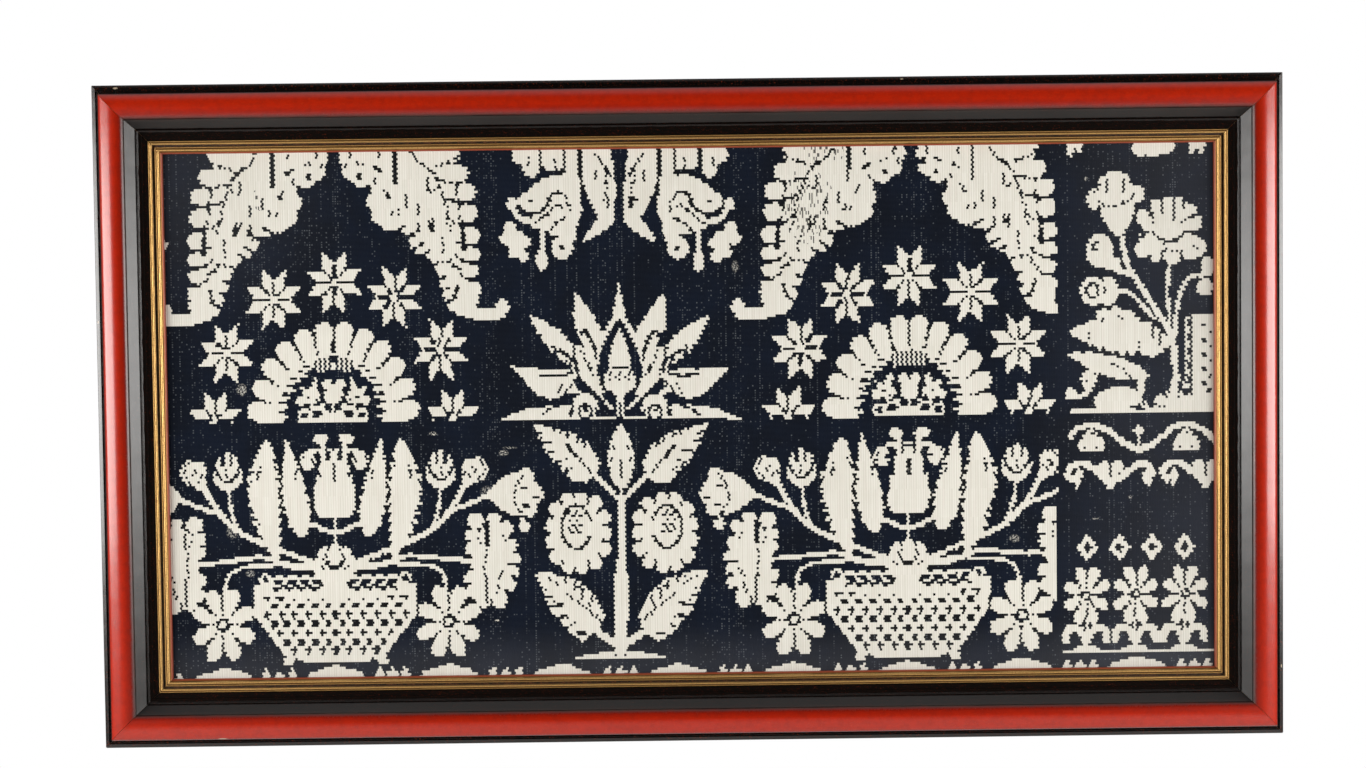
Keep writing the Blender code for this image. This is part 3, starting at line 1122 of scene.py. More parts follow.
@dataclass(frozen=True)
class SideSprays:
    """What springs sideways from the rosette: stems, round bud, curled flower, bell and great carnation."""

    def weave(self, chart: Chart) -> None:
        """Weaves the sprays right of the basket's axis, and their mirrored copies left of it."""
        for half in reversed(chart.halves()):
            self.stems(half)
            self.buds(half)
            self.bell(half)
            self.carnation(half)
            Flower(114.5, -209.5).weave(half)

    def stems(self, chart: Chart) -> None:
        """Weaves the stems."""
        chart.weave(
            chart.stroke((14, -151), (40, -152), (62, -147), width=8, end=5.5),
            chart.stroke((58, -147), (74, -142.5), (96, -144.5), (138, -148), width=4.4),
            chart.stroke((60, -150.5), (84, -151.5), (99, -154), (109, -162), (112.5, -182), width=3.6),
            chart.stroke((22, -149), (44, -141), (60, -134), (96, -117), (113, -101), (124, -84),
                (134, -66), width=6.4, end=5),
            chart.stroke((97, -114), (103, -100), (106.5, -74), width=3.4),
            chart.stroke((112, -101), (126, -94), (142, -88), (160, -80), width=4.6),
        )
        chart.cut(chart.dots((34, -147), (54, -140), pitch=4.6, size=2.6))

    def buds(self, chart: Chart) -> None:
        """Weaves the round bud in its sepals and the curled flower beside it."""
        chart.weave(chart.oval(107.2, -51, 11.6, 14), chart.oval(107.2, -60, 15.2, 14.6) & (chart.z < -52))
        chart.cut(chart.stroke((94, -47), (97, -58), (107.2, -66.5), (117.4, -58), (120.4, -47), width=2.8),
                  chart.box(101.6, -50, 104.2, -36), chart.box(110.2, -50, 112.8, -36),
                  chart.dots((107.2, -55), (107.2, -61), size=2.4))
        chart.weave(*each(chart.oval, (141.5, -55.5, 12.6, 13.4), (134.5, -66, 5.5, 7.5)))
        chart.cut(chart.dots((138, -45), (147, -47), (151, -56), pitch=3.8),
                  chart.dots((139, -54.5), (141.3, -57.5), pitch=3.6, size=3),
                  chart.dots((148, -61), (145, -67), size=2.4), chart.dots((133, -59), (137, -64)))

    def bell(self, chart: Chart) -> None:
        """Weaves the bell-shaped flower that opens sideways."""
        chart.weave(chart.blade((153, -80.5), (210, -83), 43, 1.1, 0.75),
                    *each(chart.oval, (193, -64, 7.6, 8.6), (196, -97, 6.6, 8), (190, -112.5, 5.4, 7),
                        (200, -76, 5, 7)))
        chart.cut(
            *each(chart.dots, ((189, -63), (183.5, -71), (180.5, -86), (184, -97), (191, -107)),
                ((192, -106.5), (196, -106.5))),
            *each(chart.box, (187, -76, 194, -73.4), (187.5, -95, 195, -92.4), (197, -87.5, 206, -84.9)),
        )

    def carnation(self, chart: Chart) -> None:
        """Weaves the great carnation seen from the side."""
        chart.weave(
            *each(chart.oval, (157, -148, 20, 37), (165, -187, 7.6, 9.4), (149, -186, 8, 8.8)),
            *each(chart.lobes, (((141, -108), (160, -109)), 8.2), (((171, -116), (175, -132)), 7.6),
                (((178, -146), (177, -160), (174, -172)), 7.4), (((137, -122), (138, -136), (137, -165),
                (139, -178)), 7.4)),
        )
        notch = 3.4
        chart.cut(
            *each(chart.stroke, ((151, -98), (152.4, -113)), ((157, -198), (157, -189)), ((186, -124.5),
                (176, -124)), ((170, -101), (167, -110)), ((188, -167), (178, -164)), ((182, -181),
                (171, -178)), ((126, -115), (136, -116)), ((126, -129), (135, -129)), ((126, -143),
                (135, -142)), ((126, -156), (137, -156)), ((127, -172), (136, -171)), width=notch),
            chart.box(151.2, -133, 154, -116), chart.box(151.2, -191, 154, -163),
            chart.dots((150.5, -137), (150.5, -161), pitch=4.2, size=2.6),
            *each(chart.stroke, ((190, -151.5), (174, -150.5)), ((190, -139.5), (181, -139)), width=2.8),
            *each(chart.dots, ((168, -122), (171, -127)), ((170, -158), (165, -166)), ((165, -172),
                (162, -180))), chart.dots((144, -126), (146, -130), size=2.4),
        )


@dataclass(frozen=True)
class Tree:
    """The straight tree between two baskets: leaves, two roses, bud and mound; its axis is X = 0."""

    petals: int = 13

    def weave(self, chart: Chart) -> None:
        """Weaves both halves of the tree."""
        chart.weave(
            *each(chart.box, (-4, -170, 4, -84), (-7, -242, 7, -162), (-2.4, -90, 2.4, -70)),
            chart.polygon((-4, -156), (4, -156), (7, -168), (-7, -168)),
            chart.blade((0, -77), (0, -12), 28.5, 0.80, 0.70, teeth=6, bite=0.16),
            chart.oval(0, -251, 51, 11) & (chart.z > -248),
        )
        chart.cut(
            chart.box(-1.5, -68, 1.5, -48),
            *each(chart.dots, ((-4, -243.4), (-4, -243)), ((4, -243.4), (4, -243)), pitch=4.8, size=2.4),
        )
        for s, half in zip((-1, 1), chart.halves()):
            half.cut(half.dots((7.5, -34), (8, -38)), half.dots((9, -47), (9.3, -50)))
            self.upper_leaf(half)
            self.rose(chart, s)
            self.lower_leaf(half)

    def upper_leaf(self, chart: Chart) -> None:
        """Weaves a leaf beside the top bud."""
        chart.weave(chart.polygon((25, -62), (21, -51), (33, -30), (48, -21), (88, -11), (80, -30),
                        (70, -48), (48, -70), (34, -71)), chart.stroke((2, -88), (27, -62), width=4.8))
        for number in range(5):
            share = number / 5
            chart.cut(chart.stroke((88 - 38 * share, -18 - 54 * share), (76 - 34 * share, -22 - 42 * share),
                          width=2.6, end=1.2))
            chart.cut(chart.stroke((70 - 44 * share, -10 - 24 * share), (66 - 36 * share, -20 - 22 * share),
                          width=2.6, end=1.2))
        chart.cut(*each(chart.dots, ((32, -60), (54, -33)), ((52, -18), (56, -22)), ((37, -25), (38, -31)),
                      ((56, -56), (63, -54))),
                  *each(chart.dots, ((80, -26), (76, -30)), ((74, -42), (70, -47)), size=2.4))

    def rose(self, chart: Chart, s: int) -> None:
        """Weaves a scalloped rose with a dark ring and a checked heart."""
        rose = chart.about(s * 43.5, -121.0)
        rose.weave(rose.oval(0, 0, 28, 35), rose.box(-23, -29, 23, 29))
        for number in range(self.petals):
            angle = 2 * math.pi * (number + 0.5) / self.petals
            spread = 1.0 + 0.10 * abs(math.sin(2 * angle))
            x, z = 26.0 * spread * math.cos(angle), 33.0 * spread * math.sin(angle)
            rose.weave(rose.blade((0, 0), (x * 1.24, z * 1.20), 16, 3.2, 0.4))
        for number in range(self.petals):
            angle = 2 * math.pi * number / self.petals
            across, up = s * math.cos(angle), math.sin(angle)
            depth = 25.0 if number in (4, 5, 6, 7, 8, 9) else 28.5
            rose.cut(rose.stroke((40 * across, 48 * up), (depth * across, depth * 1.22 * up), width=4,
                         end=2.6))
        ring = rose.ring(s * 2.0, 6.0, 16.6, 22.8, 3.0)
        rose.cut(ring & ~((np.abs(rose.z - 4) < 7) & (rose.x * s < -10)))
        for row in range(6):
            for column in range(4):
                if (row + column) % 2 == 0:
                    x, z = s * 4.0 + (column - 1.5) * 3.7, 11.0 + (row - 2.5) * 4.1
                    rose.cut(rose.box(x - 1.5, z - 1.6, x + 1.5, z + 1.6))

    def lower_leaf(self, chart: Chart) -> None:
        """Weaves a leaf beside the foot of the trunk."""
        chart.weave(chart.polygon((22, -217), (17, -206), (26, -186), (42, -169), (72, -160), (87, -161),
                        (78, -181), (72, -198), (50, -222), (38, -231), (28, -222)),
                    chart.stroke((5, -232), (24, -220), width=7))
        for number in range(5):
            share = number / 5
            chart.cut(chart.stroke((88 - 40 * share, -172 - 56 * share),
                          (74 - 34 * share, -178 - 42 * share), width=2.6, end=1.2))
            chart.cut(chart.stroke((66 - 46 * share, -156 - 36 * share),
                          (62 - 36 * share, -168 - 34 * share), width=2.6, end=1.2))
        chart.cut(*each(chart.dots, ((23, -208), (55, -182)), ((36, -172), (47, -176)), ((60, -193),
                      (68, -190)), ((54, -206), (62, -206)), ((36, -222), (43, -222))),
                  chart.dots((63, -173), (74, -166), pitch=3.8, size=3))


@dataclass(frozen=True)
class Sunburst:
    """The flower of spear-shaped petals over the tree, round a checked bud; its axis is X = 0."""

    base: float = -7.0

    def weave(self, chart: Chart) -> None:
        """Weaves both halves of the flower."""
        chart.weave(chart.blade((0, 66), (0, 129), 15, 0.62, 1.15))
        for half in chart.halves():
            self.petals(half)
        chart.weave(chart.blade((0, 30), (0, 104), 47, 0.60, 0.85) & (chart.z > 40))
        chart.cut(chart.blade((0, 10), (0, 93), 44, 0.72, 0.75))
        for half in chart.halves():
            self.foot(half)
        self.bud(chart)

    def bud(self, chart: Chart) -> None:
        """Weaves the bud at the middle, with its dark line and checks."""
        chart.weave(chart.oval(0, 31, 16.5, 13), chart.blade((0, 12), (0, 84), 23, 0.80, 0.85),
                    chart.box(-3.4, -4, 3.4, 20))
        chart.cut(chart.box(-9, 42, 9, 44.8), chart.box(-1.3, self.base, 1.3, 10))
        for row in range(3):
            for column in range(-2, 3):
                if (row + column) % 2 == 0:
                    x, z = column * 4.6, 32.0 + row * 3.1
                    chart.cut(chart.box(x - 1.9, z - 1.5, x + 1.9, z + 1.5))

    def petals(self, chart: Chart) -> None:
        """Weaves one side's three spear petals and the small petals inside them."""
        chart.weave(
            chart.blade((12, 50), (45, 121), 27, 0.92, 1, bend=-4, teeth=7, bite=0.20),
            chart.stroke((2, 92), (10, 82), (17, 78), (21, 80), width=5),
            chart.blade((40, 43), (92, 98), 23, 0.90, 1.05, bend=1.5, teeth=7, bite=0.22),
            chart.polygon((111, 46), (78, 43), (62, 44), (50, 32), (57, 17), (70, 13), (82, 17)),
            *each(chart.blade, ((14, 20), (46, 66), 34, 0.9, 0.6), ((30, 24), (76, 40), 22, 0.9, 0.6)),
        )
        chart.cut(
            *each(chart.stroke, ((42, 74), (36, 82), (29, 74), (24, 60), (21, 46)), ((62, 62), (54, 58),
                (44, 50)), ((67, 66), (64, 54), (56, 44)), width=3.6),
            *each(chart.dots, ((26, 38), (32, 48), (38, 62)), ((58, 28), (62, 20))),
            *each(chart.dots, ((40, 38), (48, 46), (54, 52)), ((44, 34), (56, 20)), size=3),
            chart.stroke((48, 40), (60, 37), (80, 38), width=2.8),
            chart.stroke((42, 42), (46, 56), (45, 68), width=3.2),
            chart.polygon((42, 37), (6, 4), (14, 0), (46, 26)),
        )
        chart.weave(chart.stroke((40, 36), (22, 19), (8, 3), width=2.8))

    def foot(self, chart: Chart) -> None:
        """Weaves one side's scrolled petals and flat leaf along the ground line."""
        above = chart.z > self.base
        chart.weave(chart.oval(35, 4, 13.5, 15) & above, chart.oval(62, -4, 22, 12.5) & above,
                    chart.blade((46, -8), (122, -7), 27, 0.8, 0.9) & above,
                    chart.box(4, self.base, 118, self.base + 3.2))
        chart.cut(chart.ring(35, 0.5, 8, 8.6, 3) & above,
                  *each(chart.box, (33.4, 0, 37.5, 4.5), (22, self.base + 3, 25, 4),
                      (10, self.base + 3, 13, 0)), chart.stroke((47.5, 14), (49.5, -3), width=3.2),
                  chart.stroke((58, 9), (72, 3), (78, -2), width=2.8))


@dataclass(frozen=True)
class TopSpray:
    """The pair of hanging buds and scrolls under the upper edge, over the sunburst; its axis is X = 0."""

    def weave(self, chart: Chart) -> None:
        """Weaves both halves of the spray."""
        for half in chart.halves():
            self.scroll(half)
            self.bud(half)
        chart.cut(chart.polygon((-4.4, 170), (4.4, 170), (4.4, 228), (10, 275), (-10, 275), (-4.4, 228)))

    def bud(self, chart: Chart) -> None:
        """Weaves the long bud beside the axis."""
        chart.weave(*each(chart.blade, ((27, 300), (13, 190), 37, 1, 0.50), ((2, 203),
                        (37, 171), 14, 0.7, 0.8)), chart.oval(15, 212, 12, 20), chart.box(8, 225, 36, 262))
        chart.cut(chart.stroke((38, 275), (40, 250), (38, 228), (36.5, 207), width=4),
                  chart.dots((24, 258), (16, 247), (9, 236), pitch=3.9, size=3),
                  chart.dots((15, 236), (13, 224), (17, 213), pitch=3.9), chart.box(10.4, 204, 13.2, 217),
                  chart.dots((24, 240), (25, 234)))

    def scroll(self, chart: Chart) -> None:
        """Weaves the scroll, its hanging buds and the lobes over it."""
        chart.weave(
            chart.stroke((46, 270), (48, 232), (50, 198), (53, 176), width=18, end=16),
            *each(chart.oval, (64, 208, 26, 30), (58.5, 165, 11, 11.5), (91, 211, 11.5, 10),
                (109, 208, 5.4, 6.4), (79, 152, 5.8, 11)),
            chart.stroke((50, 226), (72, 229), (90, 214), width=15),
            chart.stroke((109, 208), (103, 195), (88, 191), width=6),
            chart.stroke((92, 192), (84, 186), width=5), chart.stroke((79, 190), (79, 160), width=4.6),
            *each(chart.lobes, (((112, 184), (115, 174), (106, 172)), 6.4), (((107, 160), (97, 156),
                (95, 170)), 5.6)), chart.box(97, 158, 111, 182),
        )
        chart.weave(*each(chart.lobes, (((90, 252), (99, 257), (88, 244)), 9.5), (((70, 252),
                        (61, 253)), 9.5)), chart.box(55, 254, 100, 275))
        chart.cut(
            *each(chart.box, (78.6, 236, 82, 275), (88.5, 209.5, 92.5, 213.5), (56, 163, 60.5, 167.5),
                (72.5, 160, 75.6, 182), (53.5, 240, 56.5, 275)),
            *each(chart.dots, ((65, 246), (65, 254)), ((93, 247), (93, 254))),
            chart.stroke((103, 206), (98, 200), (88, 198), (78, 203), (72, 209), width=3.2),
            *each(chart.dots, ((72, 210), (68, 218), (60, 221), (53, 213), (51, 203)), ((84, 190),
                (72, 200), (63, 208), (58, 206)), pitch=3.8, size=3),
            chart.dots((73, 181), (64, 190), (55, 195), pitch=3.8, size=3.2),
            chart.stroke((55, 241), (76, 241), (86, 234), width=3),
        )


@dataclass(frozen=True)
class GroundRow:
    """The mounds and leaf tips of the next row of figures, just over the lower edge."""

    pitch: float = 115.2
    top: float = -253.0

    def weave(self, chart: Chart) -> None:
        """Weaves the row along the whole chart."""
        for number in range(-5, 6):
            x = number * self.pitch
            for dx, rx, rise in ((0, 17, 0), (-14, 11, -3.4), (14, 11, -3.4), (-23, 7, -6.0), (23, 7, -6.0)):
                chart.weave(chart.oval(x + dx, self.top + rise - 9.5, rx, 9.5))
            x += self.pitch / 2
            for dx, drop in ((-13, 2.0), (0, 3.2), (13, 2.0)):
                chart.weave(chart.blade((x + dx, self.top - 20), (x + dx, self.top - drop + 1), 9, 0.9))
            chart.weave(chart.oval(x, self.top - 10, 6, 4.6))


@dataclass(frozen=True)
class Border:
    """The narrower flowered border along the right side, in the cloth's own X."""

    ground: float = -7.0

    def weave(self, chart: Chart) -> None:
        """Weaves the border from its upper edge to its ground row."""
        self.sprays(chart)
        self.leaves(chart)
        self.vines(chart)
        self.lozenges(chart)
        self.flowers(chart)

    def sprays(self, chart: Chart) -> None:
        """Weaves the bud, carnation and small flowers on their stems."""
        chart.weave(
            *each(chart.lobes, (((448, 257), (460, 256), (472, 259)), 8.5), (((451, 189), (463, 198),
                (475, 201), (487, 201), (497, 193), (503, 183)), 7.6), (((451, 157), (461, 153), (480, 150),
                (498, 154), (506, 158)), 8.8)),
            *each(chart.oval, (378, 262, 4, 12), (387, 264, 4, 9), (499, 262, 4, 12), (508, 262, 4, 12),
                (422.5, 216, 19.5, 18), (402, 208, 7, 10.5), (446, 212, 6, 8.5), (477, 182, 28, 15),
                (407.5, 156, 13, 17), (421, 143, 9, 6.5), (401, 115.5, 12, 14.5), (416, 115.5, 11, 14.5),
                (516, 139, 7.5, 9.5), (514, 118, 8, 8.5)), chart.box(440, 256, 482, 275),
            chart.box(447, 156, 509, 172), chart.blade((427, 170), (423, 226), 34, 1.15, 0.60),
            chart.stroke((427, 184), (430, 164), (436, 142), (452, 116), (468, 91), (480, 70), (484, 40),
                (484.5, 16), width=4.6, end=7),
            chart.stroke((478, 146), (476.5, 112), (479, 76), width=3.2),
            chart.stroke((416, 143), (428, 136), (440, 133), width=6.5),
            chart.stroke((424, 116), (440, 112), (462, 88), width=4.4),
            chart.stroke((484, 72), (486, 98), (493, 122), (502, 130), (512, 130), width=4.2),
        )
        chart.cut(
            *each(chart.box, (413, 214, 416, 227), (429.6, 214, 432.6, 227), (480, 184, 482.8, 210),
                (401, 164, 407, 166.2)),
            *each(chart.dots, ((402, 215), (406, 222)), ((407, 206), (414, 201), (424, 201), (434, 205),
                (441, 211)), ((441, 220), (438, 226)), ((458, 196), (461, 184))),
            *each(chart.dots, ((490, 184), (496, 188)), ((502, 160), (505, 156)), ((413, 113), (413, 119)),
                ((411, 125), (412, 129)), size=2.4),
            *each(chart.stroke, ((469, 212), (469, 194)), ((510, 192), (500, 188)), ((436, 171),
                (449, 170)), ((506, 170), (516, 171)), width=3),
            *each(chart.stroke, ((456, 205), (457, 196)), ((493, 208), (491, 197)), ((456, 143),
                (457, 151)), ((470, 140), (470, 149)), ((489, 141), (489, 149)), width=3.2),
            chart.dots((450, 170), (458, 175), (466, 169), (477, 164), (488, 169), (496, 175), (505, 170),
                pitch=3.8, size=3.2), chart.dots((472, 161), (480, 155), (488, 155), pitch=4.2, size=2.4),
            chart.stroke((402, 163), (401, 158), (406, 156), width=SLIT),
            chart.ring(401, 116, 7.4, 8.4, SLIT),
        )

    def leaves(self, chart: Chart) -> None:
        """Weaves the two serrated leaves, the mound, the railed post and the ground line."""
        above = chart.z > self.ground
        chart.weave(
            chart.blade((480, 62), (378, 75), 42, 0.90, 0.72, bend=-3, teeth=9, bite=0.26),
            *each(chart.oval, (460, 62, 14, 13), (398, 27, 7.5, 10), (380, 13, 6, 6)),
            chart.lobes(((412, 91), (424, 93), (436, 90)), 7),
            chart.blade((458, 29), (375, 53), 24, 0.85, 0.78, teeth=7, bite=0.26),
            chart.stroke((440, 40), (450, 32), (451, 10), (456, -4), width=6),
            chart.stroke((398, 16), (390, 10), (380, 12), width=5), chart.oval(431, 6, 18, 14) & above,
            chart.oval(417, 4, 13, 12) & above, chart.oval(484, 6, 10, 11) & above,
            chart.oval(470, 2, 7, 9) & above, chart.oval(498, 1, 7, 10) & above,
            chart.box(501.5, self.ground, 530, 91), chart.box(380, self.ground, 530, self.ground + 3.4),
        )
        for number in range(5):
            z = 84 - number * 14.5
            chart.weave(chart.ring(497, z - 2, 4.4, 6.6, 2.8) & (chart.x < 499),
                        chart.box(493.6, z - 10, 496, z - 7))
            chart.cut(chart.box(511.6, z - 6, 515.6, z - 1.5), chart.box(517.3, z - 13, 521, z - 8.5))
        chart.cut(
            *each(chart.box, (460, 66, 462.4, 84), (468.5, 60, 470.9, 74), (452, 0, 454.4, 12)),
            *each(chart.dots, ((446, 64), (448, 50)), ((396, 73), (397.5, 68)), ((464, 0), (474, -2)),
                pitch=4.4, size=2.4),
            *each(chart.dots, ((410, 88), (411, 84)), ((428, 91), (429, 87)), ((420, 43), (426, 40)),
                ((478, 8), (479, 12)), ((490, 8), (489, 12)), size=2.4),
            chart.dots((432, 36), (444, 26), pitch=4.2, size=2.4),
            chart.dots((396, 24), (396.3, 24), pitch=4.8, size=2.4),
            chart.stroke((440, -1), (452, -4), width=SLIT),
        )

    def vines(self, chart: Chart) -> None:
        """Weaves the two waving vines with their bells and twin buds."""
        for shift in (0.0, 95.0):
            vine = chart.about(shift)
            vine.weave(
                vine.stroke((379, -31), (386, -23), (401, -19.5), (418, -25), (432, -37), (448, -44.5),
                    width=5.2, end=7), vine.blade((401, -22), (401, -51), 27, 1.5, 0.6) & (vine.z > -46.5),
                vine.oval(401, -36, 9, 8), vine.oval(457, -72, 5.4, 8.6),
                vine.stroke((448, -44.5), (462, -39), (476, -28), width=7, end=5),
                vine.stroke((381, -75), (377, -66), (384, -58.5), (395, -58.5), (407, -67), (421, -79),
                    width=6.4, end=7),
                *each(vine.blade, ((389, -62), (387, -83), 8, 0.8), ((413, -66), (420, -78), 9),
                    ((427, -66), (420, -78), 9)),
                vine.stroke((421, -79), (438, -66), (448, -58.5), (457, -59.5), (462, -68), width=6.4),
                vine.lobes(((413.5, -62), (426.5, -62)), 6.6), vine.box(417.4, -84.5, 424.6, -78),
            )
            vine.cut(
                *each(vine.dots, ((394, -46), (394, -42)), ((405, -46), (405, -42)), size=2.4),
                vine.box(418.8, -73, 421.2, -57),
                *each(vine.dots, ((401, -28), (402, -28)), ((408, -30), (409, -30)), pitch=4.8, size=2.4),
            )
        chart.weave(chart.polygon((448, -18.5), (454, -25.5), (448, -32), (442, -25.5)),
                    chart.box(446.8, -42, 449.2, -30))

    def lozenges(self, chart: Chart) -> None:
        """Weaves a plain row of small stepped lozenges in the band over the flowers."""
        for number in range(4):
            x, z = 397.0 + number * 32.7, -143.0
            chart.weave(chart.polygon((x, z + 14), (x + 11, z), (x, z - 14), (x - 11, z)))
            chart.cut(chart.polygon((x, z + 5.5), (x + 4.6, z), (x, z - 5.5), (x - 4.6, z)))

    def flowers(self, chart: Chart) -> None:
        """Weaves the three low flowers with their curled leaves on one ground line."""
        for number in range(3):
            x = 397.0 + number * 49.3
            chart.weave(chart.box(x - 1.6, -246, x + 1.6, -212))
            Flower(x, -190.5, 22.5, 29.5, 10.8, 5.4).weave(chart)
            for s in (-1, 1):
                chart.weave(chart.stroke((x + s * 1.5, -237), (x + s * 6, -226), (x + s * 13, -222.5),
                                (x + s * 19, -226), (x + s * 20.5, -235), width=6.2, end=8))
            chart.weave(chart.oval(x, -248, 15, 7.5) & (chart.z > -248.5))
        chart.weave(chart.box(372, -248.6, 530, -245))


@dataclass
class CoverletPattern:
    """The whole figure of the cloth: a mirrored repeat of baskets and trees, and a border down the right."""

    step: float = 1.2
    skew: float = 0.0107
    scale: float = 0.9962
    half_repeat: float = 288.0
    axes: tuple[float, ...] = (-643.7, -358.0, -72.3, 217.7, 507.7)
    repeat_end: float = 367.6
    border_start: float = 369.0
    height: float = 270.0
    ground: float = -7.0
    stars: tuple[Point, ...] = ((0.0, 132.5), (60.5, 116.5), (107.5, 63.5), (119.0, -4.5))

    def blank(self, width: float, start: float) -> Chart:
        """An empty chart as high as the cloth."""
        x = np.arange(start, start + width, self.step)
        z = np.arange(-self.height, self.height + self.step, self.step)
        across, up = np.meshgrid(x, z)
        return Chart(across, up, np.zeros(across.shape, bool))

    def repeat(self) -> Chart:
        """Half a repeat, from a basket's axis to a tree's."""
        chart = self.blank(self.half_repeat + 2 * self.step, 0.0)
        Plume().weave(chart)
        for x, z in self.stars[:-1]:
            Star(x, z).weave(chart)
        self.cut_star(chart)
        Fan().weave(chart)
        SideSprays().weave(chart)
        Tulip().weave(chart)
        Basket().weave(chart)
        tree = chart.about(self.half_repeat, 0.0, True)
        TopSpray().weave(tree)
        Sunburst().weave(tree)
        Tree().weave(tree)
        GroundRow().weave(chart)
        return chart

    def cut_star(self, chart: Chart) -> None:
        """Weaves the star that the section's ground line cuts through, its upper half alone."""
        half = Chart(chart.x, chart.z, np.zeros_like(chart.light))
        Star(*self.stars[-1]).weave(half)
        chart.light |= half.light & (chart.z > self.ground)

    def border(self) -> Chart:
        """The right border."""
        chart = self.blank(175.0, self.border_start)
        Border().weave(chart)
        GroundRow().weave(chart.about(self.axes[3]))
        return chart

    def read(self, chart: Chart, x: np.ndarray, z: np.ndarray) -> np.ndarray:
        """Reads a chart at places in its own millimetres, False outside it."""
        column = np.rint((x - chart.x[0, 0]) / self.step).astype(int)
        row = np.rint((z - chart.z[0, 0]) / self.step).astype(int)
        rows, columns = chart.light.shape
        inside = (column >= 0) & (column < columns) & (row >= 0) & (row < rows)
        return chart.light[row.clip(0, rows - 1), column.clip(0, columns - 1)] & inside

    def lay(self, x: np.ndarray, z: np.ndarray) -> np.ndarray:
        """The figure over the cloth.

        Args:
            x: each step's place across the cloth, in millimetres from its centre.
            z: each step's place up it.

        Returns:
            True where the undyed layer is on the face.
        """
        z = z / self.scale
        x = x / self.scale - self.skew * z
        drift = 0.9 * np.sin(x / 97.0 + z / 160.0) + 0.6 * np.sin(z / 61.0 - x / 240.0)
        lift = 1.1 * np.sin(x / 118.0 + 0.8) + 0.5 * np.sin(z / 84.0 + x / 70.0)
        turns = [self.half_repeat * number for number in range(-1, len(self.axes) - 1)]
        phase = np.interp(x + drift, self.axes, turns)
        folded = np.abs((phase + self.half_repeat) % (2 * self.half_repeat) - self.half_repeat)
        main = self.read(self.repeat(), folded, z + lift) & (x < self.repeat_end)
        side = self.read(self.border(), x, z + lift * 0.5) & (x > self.border_start)
        return self.toothed(main | side, x)

    def toothed(self, light: np.ndarray, x: np.ndarray) -> np.ndarray:
        """Gives every edge the even teeth of the weave's binding.

        Args:
            light: the figure with clean edges, rows up and columns across, in cells of two by two.
            x: each step's place across.

        Returns:
            The figure with every other row of cells a step to the right.
        """
        row_of_cells = np.arange(light.shape[0]) // 2 % 2 == 0
        result = light.copy()
        result[row_of_cells, 1:] = light[row_of_cells, :-1]
        straight = np.abs(x - self.repeat_end) < 3 * self.step
        result[straight] = light[straight]
        return result


